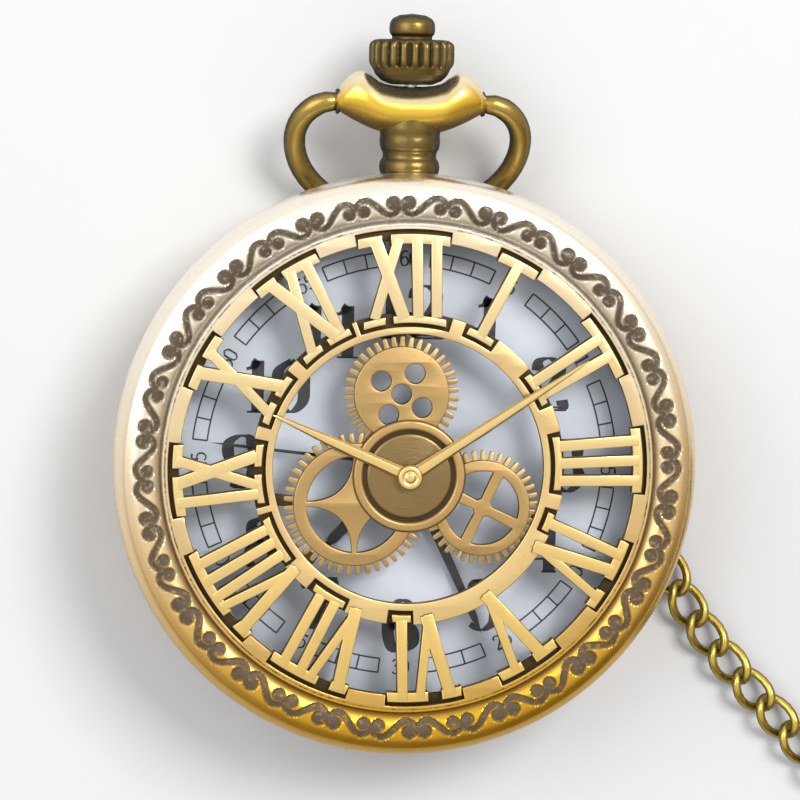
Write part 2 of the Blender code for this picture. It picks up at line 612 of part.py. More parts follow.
def make_electrics():
    """Coil with its core, stator round the rotor, circuit board with chip and crystal, and the battery."""
    (ax, ay), (bx, by) = CORE_ENDS
    lean = math.degrees(math.atan2(by - ay, bx - ax))
    middle = ((ax + bx) / 2, (ay + by) / 2, 3.0)
    turn = Matrix.Translation(middle) @ Matrix.Rotation(math.radians(lean), 4, "Z")
    half = math.hypot(bx - ax, by - ay) / 2
    core = box((-half - 0.6, -0.35, -0.25), (half + 0.6, 0.35, 0.25))
    winding = turned([(0.5, -2.3), (0.85, -2.3), (0.85, 2.3), (0.5, 2.3)], 16, "X")
    for name, shape, colour in (("coil_core", core, STEEL), ("coil_winding", winding, COPPER)):
        bmesh.ops.transform(shape, matrix=turn, verts=shape.verts)
        place(name, shape, colour)
    rx, ry = train_places()["rotor"]
    towards = [math.degrees(math.atan2(y - ry, x - rx)) % 360 for x, y in CORE_ENDS]
    outline = []
    spans = ((towards[0], towards[1]), (towards[1], towards[0] + 360))
    for (x, y), (angle, after) in zip(CORE_ENDS, spans):
        length = math.hypot(x - rx, y - ry)
        outline += [(length * math.cos(math.radians(angle)) + s * 0.5 * math.sin(math.radians(angle)),
                     length * math.sin(math.radians(angle)) - s * 0.5 * math.cos(math.radians(angle)))
                    for s in (1, -1)]
        outline += arc(1.7, angle + 20, after - 20, 6)
    outline = [(x + rx, y + ry) for x, y in outline]
    place("stator", stack([(outline, 3.3, 3.6)], [circle(1.1, 16, (rx, ry))]), STEEL)
    board = arc(11.2, 115, 185, 8) + arc(4.3, 185, 115, 6)
    place("circuit_board", stack([(board, 3.95, 4.35)]), BOARD)
    place("ic_chip", box((-6.8, 4.6, 2.9), (-4.2, 7.2, 3.9)), BLACK)
    place("quartz_can", rod(0.75, -9.9, -5.1, 14, "X", (0, 2.4, 3.05)), STEEL)
    cell = [(0, 1.3), (3.3, 1.3), (3.4, 1.45), (3.4, 3.4), (2.9, 3.85), (0, 3.85)]
    place("battery", turned(cell, 28, centre=(*BATTERY_AT, 0)), STEEL)
    strap = [(0.4, -9.4), (1.9, -9.6), (8.5, -5.6), (8.0, -4.2), (6.4, -4.0), (0.5, -7.9)]
    place("battery_strap", stack([(strap, 1.22, 1.28)], [circle(0.35, 10, SCREWS["strap_screw"])]), STEEL)


# ---------------------------------------------------------------- crown and stem

def make_crown():
    centre = (0, 0, STEM_Z)
    crown = [(0.53, 29.3), (1.4, 29.3), (2.6, 29.85), (3.2, 30.8), (3.2, 32.45), (2.7, 32.75), (1.85, 32.75),
             (1.85, 30.6), (0, 30.6), (0, 30.1), (0.53, 30.1)]
    flutes = [0.2 if radius == 3.2 else 0.0 for radius, _ in crown]
    place("crown", turned(crown, 44, "Y", centre, flutes), DARK_BRONZE, (0, 30, STEM_Z))
    button = [(0, 31.5), (1.75, 31.5), (1.75, 34.0), (1.6, 34.35), (1.1, 34.6), (0, 34.75)]
    place("push_button", turned(button, 24, "Y", centre), BRONZE, (0, 33, STEM_Z))
    spring = [(1.0, 30.65), (1.3, 30.65), (1.3, 31.45), (1.0, 31.45)]
    place("button_spring", turned(spring, 16, "Y", centre), STEEL, (0, 31, STEM_Z))
    stem = [(0, 5.6), (STEM_R, 5.6), (STEM_R, 9.3), (0.28, 9.3), (0.28, 10.3), (STEM_R, 10.3),
            (STEM_R, 30.05), (0, 30.05)]
    place("stem", turned(stem, 12, "Y", centre), STEEL, (0, 20, STEM_Z))
    clutch = [(0.56, 5.5), (0.85, 5.5), (0.85, 6.1), (0.68, 6.2), (0.68, 6.8), (0.85, 6.9),
              (0.85, 7.6), (0.56, 7.6)]
    notches = [0.1 if radius == 0.85 else 0.0 for radius, _ in clutch]
    place("sliding_pinion", turned(clutch, 20, "Y", centre, notches), STEEL, (0, 6.5, STEM_Z))
    lean = math.degrees(math.asin(0.5 / 2.15))
    tip = [polar(math.hypot(2.15, side * 0.22), 180 + lean + math.degrees(math.atan2(side * 0.22, 2.15)))
           for side in (-1, 1)]
    lever = arc(0.6, lean - 150, lean + 150, 8) + tip
    arbor("setting_lever", [(circle(0.25, 8), 4.6, 5.5), (circle(0.42, 10), 5.5, 6.35), (lever, 6.35, 6.65)],
          [], LEVER_AT, STEEL)


# ---------------------------------------------------------------- chain

RUN_ROUTE = [
    (8.5, 19.1), (13.5, 16.0), (18.1, 10.5), (20.6, 4.0), (21.0, -2.0), (20.9, -6.2), (21.5, -9.9),
    (23.0, -13.1), (25.3, -16.2), (28.1, -19.3), (31.0, -22.1), (33.2, -24.0), (35.4, -25.0),
]
END_ROUTE = [(51.4, -5.3), (51.35, -6.6), (50.7, -7.9), (49.7, -8.8)]
CLASP_AT = (48.55, -10.9)
CLASP_TURN = -63.0
CLASP_Z = 1.25


def smooth_route(route, step):
    """Points at even steps along a smooth curve through the route's points."""
    ends = [route[0]] + list(route) + [route[-1]]
    fine = []
    for a, b, c, d in zip(ends, ends[1:], ends[2:], ends[3:]):
        for i in range(20):
            t = i / 20
            p, q, r, s = Vector(a), Vector(b), Vector(c), Vector(d)
            bend = (p * 2 - q * 5 + r * 4 - s) * t ** 2 + (q * 3 - p - r * 3 + s) * t ** 3
            fine.append((q * 2 + (r - p) * t + bend) / 2)
    fine.append(Vector(route[-1]))
    length = sum((b - a).length for a, b in zip(fine, fine[1:]))
    count = max(2, round(length / step))
    points, gone, want = [fine[0]], 0.0, length / count
    for a, b in zip(fine, fine[1:]):
        gone += (b - a).length
        while gone >= want * len(points) - 1e-6 and len(points) < count:
            points.append(b)
    return points + [fine[-1]]


def chain_tube(name, route, step):
    curve = bpy.data.curves.new(name, "CURVE")
    curve.dimensions = "3D"
    curve.bevel_depth = CHAIN_D / 2 * MM
    curve.bevel_resolution = 2
    curve.use_fill_caps = True
    points = smooth_route(route, step)
    spline = curve.splines.new("POLY")
    spline.points.add(len(points) - 1)
    for slot, point in zip(spline.points, points):
        slot.co = (point.x * MM, point.y * MM, CHAIN_Z * MM, 1.0)
    curve.materials.append(material(name, OLIVE))
    piece = bpy.data.objects.new(name, curve)
    bpy.context.scene.collection.objects.link(piece)


def oval(length, width, centre, start, end, steps):
    points = []
    for i in range(steps + 1):
        x, y = polar(1.0, start + (end - start) * i / steps)
        points.append((centre + x * length, y * width))
    return points


def make_chain():
    """Chain laid round the case and out to a coil of three turns, with a clasp at its end."""
    chain_tube("chain_run", RUN_ROUTE, CHAIN_D * 1.1)
    chain_tube("chain_end", END_ROUTE, CHAIN_D * 0.5)
    low, side, top = CHAIN_Z - CHAIN_D / 2, COIL_HALF, CHAIN_Z + CHAIN_D * 1.37
    outline = [(-side, low), (side, low), (side + 0.15, CHAIN_Z), (side - 0.35, 2.7), (1.2, top - 0.55),
               (0, top), (-1.2, top - 0.55), (0.35 - side, 2.7), (-side - 0.15, CHAIN_Z)]
    coil = turned([(COIL_R + x, z) for x, z in outline], 28, centre=(*COIL_AT, 0))
    place("chain_coil", coil, OLIVE)


def make_clasp():
    """Spring hook: its body, its sprung lever and the small ring that ties it to the chain."""
    turn = Matrix.Translation((*CLASP_AT, 0)) @ Matrix.Rotation(math.radians(CLASP_TURN), 4, "Z")
    body = arc(0.9, 45, 315, 8) + oval(4.9, 3.0, 6.3, 205, 400, 12)
    body += oval(3.5, 1.75, 6.3, 400, 105, 14) + oval(4.9, 3.0, 6.3, 105, 155, 3)
    hook = stack([(body, CLASP_Z - 0.5, CLASP_Z + 0.5)], [circle(0.45, 8)])
    outside, inside = oval(4.8, 2.9, 6.3, 54, 99, 5), oval(3.6, 1.85, 6.3, 99, 60, 4)
    gate = outside + inside + [(8.87, 1.04)]
    lever = stack([(gate, CLASP_Z - 0.4, CLASP_Z + 0.4)])
    ring = torus(0.95, 0.2, 16, 6)
    upright = Matrix.Translation((-0.85, 0, CLASP_Z)) @ Matrix.Rotation(math.pi / 2, 4, "X")
    bmesh.ops.transform(ring, matrix=upright, verts=ring.verts)
    pivot = turn @ Vector((*oval(4.2, 2.4, 6.3, 95, 95, 1)[0], 0))
    parts = (("clasp_body", hook, (0, 0, 0)), ("clasp_lever", lever, pivot), ("clasp_ring", ring, (0, 0, 0)))
    for name, shape, point in parts:
        bmesh.ops.transform(shape, matrix=turn, verts=shape.verts)
        place(name, shape, OLIVE, point)


def main():
    for old in list(bpy.data.objects):
        bpy.data.objects.remove(old, do_unlink=True)
    make_back()
    make_band()
    make_pendant()
    make_bow()
    make_cover()
    make_cover_hands()
    make_dial_side()
    make_hands()
    make_train()
    make_plates()
    make_electrics()
    make_crown()
    make_chain()
    make_clasp()


main()
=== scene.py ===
"""Looks of an openwork pocket watch with its chain, lying on a pale table.

Shapes are drawn in millimetres and brought to metres by MM. +Z is the dial side and +Y is 12 o'clock.
"""

import math

import bmesh
import bpy
import numpy as np
from mathutils import Matrix, Vector


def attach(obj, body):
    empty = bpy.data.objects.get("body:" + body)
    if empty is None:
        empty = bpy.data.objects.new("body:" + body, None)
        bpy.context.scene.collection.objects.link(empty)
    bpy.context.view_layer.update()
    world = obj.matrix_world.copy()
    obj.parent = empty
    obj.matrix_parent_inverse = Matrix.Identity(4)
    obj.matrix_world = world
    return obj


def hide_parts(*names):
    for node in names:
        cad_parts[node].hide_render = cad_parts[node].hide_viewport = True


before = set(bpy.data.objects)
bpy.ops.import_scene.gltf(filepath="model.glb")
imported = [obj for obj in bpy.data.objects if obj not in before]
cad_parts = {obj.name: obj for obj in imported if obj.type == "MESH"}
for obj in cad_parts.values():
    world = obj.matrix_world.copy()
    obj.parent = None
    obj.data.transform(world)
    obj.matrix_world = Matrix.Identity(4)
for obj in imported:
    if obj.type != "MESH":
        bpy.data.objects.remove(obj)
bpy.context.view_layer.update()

MM = 0.001
STEM_Z = 6.5                # height of the stem, crown and bow pivots
BOW_Y = 27.9
COVER_TURN = 3.0            # the cover's pattern sits this many degrees round from 12 o'clock
HINGE = (0.0, -22.2, 8.0)
HUB = (0.04, -0.5)          # centre of the cover's hub
BOW_REACH = 10.7            # from the bow's pivots to the middle of its far rod
BOW_ROD = 0.85
LINK_PITCH = 3.0
LINK_WIRE = 0.35
CHAIN_Z = 1.22              # height of the chain's middle where it lies on the table
COIL_AT = (53.5, -17.0)
INK_LOW = 8.246             # underside of the printed figures
INK_THICK = 0.014


# ---------------------------------------------------------------- camera

def make_camera():
    """Nearly overhead, a little towards 10 o'clock, with a slight roll."""
    data = bpy.data.cameras.new("camera")
    data.lens = 150
    data.sensor_width = 36
    camera = bpy.data.objects.new("camera", data)
    bpy.context.scene.collection.objects.link(camera)
    bpy.context.scene.camera = camera
    back = Vector((-0.090, 0.105, 1.0)).normalized()
    up = Vector((-math.sin(math.radians(1.3)), math.cos(math.radians(1.3)), 0))
    side = up.cross(back).normalized()
    turn = Matrix((side, back.cross(side), back)).transposed().to_4x4()
    aim = Vector((-0.615, 5.136, 10.0)) * MM
    camera.matrix_world = Matrix.Translation(aim + back * 0.2567) @ turn
    data.clip_start = 0.01
    data.clip_end = 5


make_camera()


# ---------------------------------------------------------------- shape helpers

def polar(radius, degrees):
    return (radius * math.cos(math.radians(degrees)), radius * math.sin(math.radians(degrees)))


def arc(radius, start, end, steps, centre=(0, 0)):
    points = [polar(radius, start + (end - start) * i / steps) for i in range(steps + 1)]
    return [(x + centre[0], y + centre[1]) for x, y in points]


def moved(points, centre):
    return [(x + centre[0], y + centre[1]) for x, y in points]


def softened(outline, reach, steps=3):
    """The closed outline with each corner drawn as a small curve."""
    made = []
    for before, here, after in zip(outline[-1:] + outline[:-1], outline, outline[1:] + outline[:1]):
        if here[0] < 1e-6:
            made.append(here)
            continue
        a, p, b = Vector(before), Vector(here), Vector(after)
        cut_a = min(reach, (a - p).length / 2.2)
        cut_b = min(reach, (b - p).length / 2.2)
        first, last = p + (a - p).normalized() * cut_a, p + (b - p).normalized() * cut_b
        for i in range(steps + 1):
            t = i / steps
            made.append(tuple(first * (1 - t) ** 2 + p * 2 * t * (1 - t) + last * t * t))
    return made


def lathe(outline, sides=128):
    """A mesh turned round Z from a closed outline of (radius, height)."""
    mesh = bmesh.new()
    rings = []
    for radius, height in outline:
        if radius < 1e-6:
            rings.append([mesh.verts.new((0, 0, height))])
        else:
            rings.append([mesh.verts.new((*polar(radius, 360 * i / sides), height)) for i in range(sides)])
    for low, high in zip(rings, rings[1:] + rings[:1]):
        for i in range(sides):
            j = (i + 1) % sides
            corners = (low[i % len(low)], low[j % len(low)], high[j % len(high)], high[i % len(high)])
            corners = list(dict.fromkeys(corners))
            if len(corners) > 2:
                mesh.faces.new(corners)
    return as_data(mesh)


def as_data(mesh):
    bmesh.ops.remove_doubles(mesh, verts=mesh.verts, dist=1e-5)
    bmesh.ops.recalc_face_normals(mesh, faces=mesh.faces)
    data = bpy.data.meshes.new("shape")
    mesh.to_mesh(data)
    mesh.free()
    return data


def sweep(path, radii, sides, flat=1.0, closed=False):
    """A round rod along a path, with flat ends unless it is closed."""
    points = [Vector(point) for point in path]
    count = len(points)
    mesh = bmesh.new()
    rings = []
    side = None
    for i, point in enumerate(points):
        ahead = points[(i + 1) % count] if closed or i < count - 1 else points[i]
        behind = points[i - 1] if closed or i > 0 else points[i]
        along = (ahead - behind).normalized()
        if side is None and abs(along.z) > 0.9:
            side = along.orthogonal().normalized()
        elif side is None:
            side = along.cross(Vector((0, 0, 1))).normalized()
        side = (side - along * side.dot(along)).normalized()
        across = along.cross(side)
        ring = []
        for k in range(sides):
            x, y = polar(radii[i], 360 * (k + 0.5) / sides)
            ring.append(mesh.verts.new(point + side * x + across * y * flat))
        rings.append(ring)
    pairs = list(zip(rings, rings[1:])) + ([(rings[-1], rings[0])] if closed else [])
    for low, high in pairs:
        shift = 0
        if closed and low is rings[-1]:
            shift = min(range(sides), key=lambda s: (low[0].co - high[s].co).length)
        for k in range(sides):
            mesh.faces.new((low[k - 1], low[k], high[(k + shift) % sides], high[(k - 1 + shift) % sides]))
    if not closed:
        mesh.faces.new(rings[0])
        mesh.faces.new(rings[-1])
    return as_data(mesh)


def plate(outlines, low, high, bevel, steps=2):
    """A flat piece cut to the outlines, holes among them, with its edges rounded by bevel."""
    curve = bpy.data.curves.new("outline", "CURVE")
    curve.dimensions = "2D"
    curve.fill_mode = "BOTH"
    curve.extrude = (high - low) / 2 - bevel
    curve.bevel_depth = bevel
    curve.bevel_resolution = steps
    curve.offset = -bevel
    for outline in outlines:
        spline = curve.splines.new("POLY")
        spline.points.add(len(outline) - 1)
        for slot, (x, y) in zip(spline.points, outline):
            slot.co = (x, y, 0, 1)
        spline.use_cyclic_u = True
    holder = bpy.data.objects.new("outline", curve)
    data = bpy.data.meshes.new_from_object(holder)
    bpy.data.objects.remove(holder)
    bpy.data.curves.remove(curve)
    mesh = bmesh.new()
    mesh.from_mesh(data)
    bpy.data.meshes.remove(data)
    bmesh.ops.translate(mesh, verts=mesh.verts, vec=(0, 0, (low + high) / 2))
    return as_data(mesh)


def gathered(parts):
    """Several meshes as one."""
    mesh = bmesh.new()
    for data in parts:
        mesh.from_mesh(data)
        bpy.data.meshes.remove(data)
    data = bpy.data.meshes.new("shape")
    mesh.to_mesh(data)
    mesh.free()
    return data


def turned_to(data, axis="Z", centre=(0, 0, 0), spin=0.0):
    """The mesh with its own Z laid along an axis, after a spin about Z, and moved to a centre."""
    lay = {"Z": Matrix(), "Y": Matrix.Rotation(-math.pi / 2, 4, "X"),
           "X": Matrix.Rotation(math.pi / 2, 4, "Y")}
    data.transform(Matrix.Translation(centre) @ lay[axis] @ Matrix.Rotation(math.radians(spin), 4, "Z"))
    return data


def piece(name, data, finish, body, stands_for=(), angle=32):
    """The finished piece: named, in metres, smooth with sharp edges, on its body."""
    data.name = name
    data.transform(Matrix.Scale(MM, 4))
    data.materials.clear()
    data.materials.append(finish)
    data.shade_smooth()
    data.set_sharp_from_angle(angle=math.radians(angle))
    made = bpy.data.objects.new(name, data)
    bpy.context.scene.collection.objects.link(made)
    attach(made, body)
    if stands_for:
        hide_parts(*stands_for)
    return made


# ---------------------------------------------------------------- geometry trees

class Tree:
    """A small helper that builds a Geometry Nodes tree and grows meshes with it."""

    def __init__(self, name, inputs):
        self.tree = bpy.data.node_groups.new(name, "GeometryNodeTree")
        face = self.tree.interface
        face.new_socket("Geometry", in_out="INPUT", socket_type="NodeSocketGeometry")
        for label, kind in inputs:
            face.new_socket(label, in_out="INPUT", socket_type="NodeSocket" + kind)
        face.new_socket("Finish", in_out="INPUT", socket_type="NodeSocketMaterial")
        face.new_socket("Geometry", in_out="OUTPUT", socket_type="NodeSocketGeometry")
        self.source = self.tree.nodes.new("NodeGroupInput")
        self.result = self.tree.nodes.new("NodeGroupOutput")

    def given(self, label):
        return self.source.outputs[label]

    def node(self, kind, inputs=(), **settings):
        made = self.tree.nodes.new(kind)
        for key, value in settings.items():
            setattr(made, key, value)
        for key, value in dict(inputs).items():
            socket = made.inputs[key]
            if isinstance(value, bpy.types.NodeSocket):
                self.tree.links.new(value, socket)
            else:
                socket.default_value = value
        return made

    def math(self, operation, a, b=0.0):
        return self.node("ShaderNodeMath", {0: a, 1: b}, operation=operation).outputs[0]

    def vector(self, operation, a, b=(0, 0, 0)):
        made = self.node("ShaderNodeVectorMath", {0: a, 1: b}, operation=operation)
        return made.outputs["Value" if operation == "LENGTH" else "Vector"]

    def scaled(self, vector, factor):
        return self.node("ShaderNodeVectorMath", {0: vector, "Scale": factor},
                         operation="SCALE").outputs["Vector"]

    def ramp(self, value, low, high, start=0.0, end=1.0, smooth=True):
        kind = "SMOOTHSTEP" if smooth else "LINEAR"
        return self.node("ShaderNodeMapRange", {"Value": value, "From Min": low, "From Max": high,
                                                "To Min": start, "To Max": end},
                                                interpolation_type=kind).outputs[0]

    def round_angle(self):
        """Position in the tree's own plane: its angle, radius and outward direction."""
        place = self.node("GeometryNodeInputPosition").outputs[0]
        flat = self.vector("MULTIPLY", place, (1, 1, 0))
        parts = self.node("ShaderNodeSeparateXYZ", {0: place})
        angle = self.math("ARCTAN2", parts.outputs[1], parts.outputs[0])
        return place, angle, self.vector("LENGTH", flat), self.vector("NORMALIZE", flat), parts.outputs[2]

    def end(self, geometry):
        """Realizes the instances and sets the finish."""
        real = self.node("GeometryNodeRealizeInstances", {"Geometry": geometry})
        done = self.node("GeometryNodeSetMaterial",
                         {"Geometry": real.outputs[0], "Material": self.given("Finish")})
        self.tree.links.new(done.outputs[0], self.result.inputs[0])
        return self

    def grow(self, data, finish, **values):
        """A plain mesh grown from a mesh with the tree's inputs set."""
        holder = bpy.data.objects.new("blank", data)
        bpy.context.scene.collection.objects.link(holder)
        step = holder.modifiers.new("grow", "NODES")
        step.node_group = self.tree
        values["Finish"] = finish
        for item in self.tree.interface.items_tree:
            if item.in_out == "INPUT" and item.name in values:
                step[item.identifier] = values[item.name]
        bpy.context.view_layer.update()
        grown = bpy.data.meshes.new_from_object(holder.evaluated_get(bpy.context.evaluated_depsgraph_get()))
        holder.modifiers.clear()
        bpy.data.objects.remove(holder)
        return grown


def links_tree():
    """Links along a path: each is a copy of one link, laid along the path with a little play."""
    tree = Tree("chain_links", [("Link", "Object"), ("Count", "Int"), ("Play", "Float"), ("Seed", "Int")])
    path = tree.node("GeometryNodeMeshToCurve", {"Mesh": tree.given("Geometry")})
    even = tree.node("GeometryNodeResampleCurve", {"Curve": path.outputs[0], "Count": tree.given("Count")},
                     mode="COUNT")
    tangent = tree.node("GeometryNodeInputTangent").outputs[0]
    along = tree.node("FunctionNodeAlignRotationToVector", {"Vector": tangent}, axis="X")
    upright = tree.node("FunctionNodeAlignRotationToVector",
                        {"Rotation": along.outputs[0], "Vector": (0, 0, 1)},
                        axis="Z", pivot_axis="X")
    less = tree.math("MULTIPLY", tree.given("Play"), -1.0)
    draw = tree.node("FunctionNodeRandomValue", {2: less, 3: tree.given("Play"),
                                                 "Seed": tree.given("Seed")}, data_type="FLOAT")
    tilt = tree.node("ShaderNodeCombineXYZ", {0: draw.outputs[1]})
    roll = tree.node("FunctionNodeEulerToRotation", {0: tilt.outputs[0]})
    rotation = tree.node("FunctionNodeRotateRotation",
                         {"Rotation": upright.outputs[0], "Rotate By": roll.outputs[0]},
                         rotation_space="LOCAL")
    link = tree.node("GeometryNodeObjectInfo", {"Object": tree.given("Link")})
    copies = tree.node("GeometryNodeInstanceOnPoints",
                       {"Points": even.outputs[0], "Instance": link.outputs["Geometry"],
                                                        "Rotation": rotation.outputs[0]})
    return tree.end(copies.outputs[0])


def knurl_tree():
    """Flutes cut round a turned piece between two heights."""
    tree = Tree("knurl", [("Count", "Int"), ("Depth", "Float"), ("From", "Float"), ("To", "Float"),
                          ("Inside", "Float")])
    _, angle, radius, outward, height = tree.round_angle()
    wave = tree.math("COSINE", tree.math("MULTIPLY", angle, tree.given("Count")))
    half = tree.node("ShaderNodeMath", {0: wave, 1: 0.5, 2: 0.5}, operation="MULTIPLY_ADD").outputs[0]
    groove = tree.math("POWER", half, 1.6)
    rise = tree.ramp(height, tree.given("From"), tree.math("ADD", tree.given("From"), 0.22))
    fall = tree.ramp(height, tree.math("SUBTRACT", tree.given("To"), 0.22), tree.given("To"), 1.0, 0.0)
    rim = tree.ramp(radius, tree.given("Inside"), tree.math("ADD", tree.given("Inside"), 0.1))
    mask = tree.math("MULTIPLY", tree.math("MULTIPLY", rise, fall), tree.math("MULTIPLY", rim, groove))
    inward = tree.scaled(outward, tree.math("MULTIPLY", mask, tree.math("MULTIPLY", tree.given("Depth"),
                                                                        -1.0)))
    cut = tree.node("GeometryNodeSetPosition", {"Geometry": tree.given("Geometry"), "Offset": inward})
    # The flute mask is kept as the recess attribute, which paints shade into the flutes.
    kept = tree.node("GeometryNodeStoreNamedAttribute", {"Geometry": cut.outputs[0], "Name": "recess",
                                                         "Value": mask},
                     data_type="FLOAT", domain="POINT")
    return tree.end(kept.outputs[0])


def cog_tree():
    """A cog: a ring of rounded teeth, with the windows of the given outlines cut through it."""
    tree = Tree("cog", [("Teeth", "Int"), ("Tip", "Float"), ("Root", "Float"), ("Thickness", "Float"),
                        ("Tooth Share", "Float")])
    blank = tree.node("GeometryNodeCurvePrimitiveCircle",
                      {"Resolution": tree.math("MULTIPLY", tree.given("Teeth"), 16.0),
                                                           "Radius": tree.given("Root")}, mode="RADIUS")
    _, angle, _, outward, _ = tree.round_angle()
    turns = tree.math("DIVIDE", tree.math("MULTIPLY", angle, tree.given("Teeth")), 2 * math.pi)
    share = tree.math("FRACT", tree.math("ADD", turns, 1000.0))
    off_middle = tree.math("MULTIPLY", tree.math("ABSOLUTE", tree.math("SUBTRACT", share, 0.5)), 2.0)
    edge = tree.given("Tooth Share")
    tooth = tree.ramp(off_middle, tree.math("SUBTRACT", edge, 0.14), tree.math("ADD", edge, 0.12), 1.0, 0.0)
    crown = tree.math("SUBTRACT", 1.0, tree.math("MULTIPLY", tree.math("POWER", off_middle, 2.0), 0.25))
    reach = tree.math("MULTIPLY", tree.math("MULTIPLY", tooth, crown),
                      tree.math("SUBTRACT", tree.given("Tip"), tree.given("Root")))
    toothed = tree.node("GeometryNodeSetPosition",
                        {"Geometry": blank.outputs[0], "Offset": tree.scaled(outward, reach)})
    windows = tree.node("GeometryNodeMeshToCurve", {"Mesh": tree.given("Geometry")})
    both = tree.node("GeometryNodeJoinGeometry")
    tree.tree.links.new(toothed.outputs[0], both.inputs[0])
    tree.tree.links.new(windows.outputs[0], both.inputs[0])
    face = tree.node("GeometryNodeFillCurve", {"Curve": both.outputs[0]}, mode="NGONS")
    lift = tree.node("ShaderNodeCombineXYZ", {2: tree.given("Thickness")})
    raised = tree.node("GeometryNodeExtrudeMesh", {"Mesh": face.outputs[0], "Offset": lift.outputs[0],
                                                   "Offset Scale": 1.0, "Individual": False}, mode="FACES")
    under = tree.node("GeometryNodeFlipFaces", {"Mesh": face.outputs[0]})
    whole = tree.node("GeometryNodeJoinGeometry")
    tree.tree.links.new(raised.outputs[0], whole.inputs[0])
    tree.tree.links.new(under.outputs[0], whole.inputs[0])
    closed = tree.node("GeometryNodeMergeByDistance", {"Geometry": whole.outputs[0], "Distance": 0.001})
    return tree.end(closed.outputs[0])


def marks_tree():
    """Minute marks round the dial, leaving out every fifth."""
    tree = Tree("minute_marks", [("Count", "Int"), ("Radius", "Float"), ("Length", "Float"),
                                 ("Width", "Float")])
    ring = tree.node("GeometryNodeMeshCircle", {"Vertices": tree.given("Count"),
                                                "Radius": tree.given("Radius")})
    index = tree.node("GeometryNodeInputIndex").outputs[0]
    wanted = tree.math("GREATER_THAN", tree.math("MODULO", index, 5.0), 0.5)
    _, angle, _, _, _ = tree.round_angle()
    turn = tree.node("ShaderNodeCombineXYZ", {2: angle})
    bar = tree.node("GeometryNodeMeshCube", {})
    size = tree.node("ShaderNodeCombineXYZ", {0: tree.given("Length"), 1: tree.given("Width"), 2: 0.016})
    tree.tree.links.new(size.outputs[0], bar.inputs["Size"])
    copies = tree.node("GeometryNodeInstanceOnPoints", {"Points": ring.outputs[0], "Selection": wanted,
                                                        "Instance": bar.outputs[0],
                                                        "Rotation": turn.outputs[0]})
    return tree.end(copies.outputs[0])


def scroll_tree():
    """Scrolls engraved round a rim: lines and dots of one repeat, set round the rim and pressed into it."""
    tree = Tree("scrolls", [("Lines", "Object"), ("Dots", "Object"), ("Small Dots", "Object"),
                            ("Repeats", "Int"),
                            ("Depth", "Float"), ("Inside", "Float")])
    ring = tree.node("GeometryNodeMeshCircle", {"Vertices": tree.given("Repeats"), "Radius": 1.0})
    place, angle, radius, _, height = tree.round_angle()
    turn = tree.node("ShaderNodeCombineXYZ", {2: angle})
    nowhere = tree.scaled(place, 0.0)
    centre = tree.node("GeometryNodeSetPosition", {"Geometry": ring.outputs[0], "Position": nowhere})
    turned = tree.node("GeometryNodeCaptureAttribute")
    turned.capture_items.new("VECTOR", "turn")
    tree.tree.links.new(ring.outputs[0], turned.inputs[0])
    tree.tree.links.new(turn.outputs[0], turned.inputs[1])
    tree.tree.links.new(turned.outputs[0], centre.inputs["Geometry"])
    flat = tree.vector("MULTIPLY", place, (1, 1, 0))
    masks = []
    for label, element, reach in (("Lines", "EDGES", 0.24), ("Dots", "POINTS", 0.56),
                                  ("Small Dots", "POINTS", 0.5)):
        motif = tree.node("GeometryNodeObjectInfo", {"Object": tree.given(label)})
        copies = tree.node("GeometryNodeInstanceOnPoints",
                           {"Points": centre.outputs[0], "Rotation": turned.outputs[1],
                                                            "Instance": motif.outputs["Geometry"]})
        real = tree.node("GeometryNodeRealizeInstances", {"Geometry": copies.outputs[0]})
        near = tree.node("GeometryNodeProximity", {0: real.outputs[0], "Source Position": flat},
                         target_element=element)
        masks.append(tree.ramp(near.outputs["Distance"], reach - 0.07, reach + 0.07, 1.0, 0.0))
    mask = tree.math("MAXIMUM", tree.math("MAXIMUM", masks[0], masks[1]), masks[2])
    band = tree.math("MULTIPLY", tree.ramp(radius, tree.given("Inside"),
                                           tree.math("ADD", tree.given("Inside"), 0.05)),
                     tree.math("GREATER_THAN", height, 11.6))
    mask = tree.math("MULTIPLY", mask, band)
    down = tree.node("ShaderNodeCombineXYZ",
                     {2: tree.math("MULTIPLY", mask, tree.math("MULTIPLY", tree.given("Depth"), -1.0))})
    cut = tree.node("GeometryNodeSetPosition", {"Geometry": tree.given("Geometry"),
                                                "Offset": down.outputs[0]})
    # The engraved lines are darkened, and the valley beside the plate gets painted shade, through the
    # recess attribute.
    valley = tree.math("MULTIPLY", tree.ramp(radius, 18.95, 19.6, 0.75, 0.0),
                       tree.math("GREATER_THAN", radius, 18.92))
    engraving_dark_and_valley_shade = tree.math("MAXIMUM", mask, valley)
    kept = tree.node("GeometryNodeStoreNamedAttribute", {"Geometry": cut.outputs[0], "Name": "recess",
                                                         "Value": engraving_dark_and_valley_shade},
                     data_type="FLOAT", domain="POINT")
    return tree.end(kept.outputs[0])


# ---------------------------------------------------------------- material groups

def shader_group(name, inputs, outputs):
    group = bpy.data.node_groups.new(name, "ShaderNodeTree")
    for label, kind, value in inputs:
        socket = group.interface.new_socket(label, in_out="INPUT", socket_type="NodeSocket" + kind)
        if value is not None:
            socket.default_value = value
    for label, kind in outputs:
        group.interface.new_socket(label, in_out="OUTPUT", socket_type="NodeSocket" + kind)
    return group, group.nodes.new("NodeGroupInput"), group.nodes.new("NodeGroupOutput")


def add(tree, kind, inputs=(), **settings):
    made = tree.nodes.new(kind)
    for key, value in settings.items():
        setattr(made, key, value)
    for key, value in dict(inputs).items():
        if isinstance(value, bpy.types.NodeSocket):
            tree.links.new(value, made.inputs[key])
        else:
            made.inputs[key].default_value = value
    return made


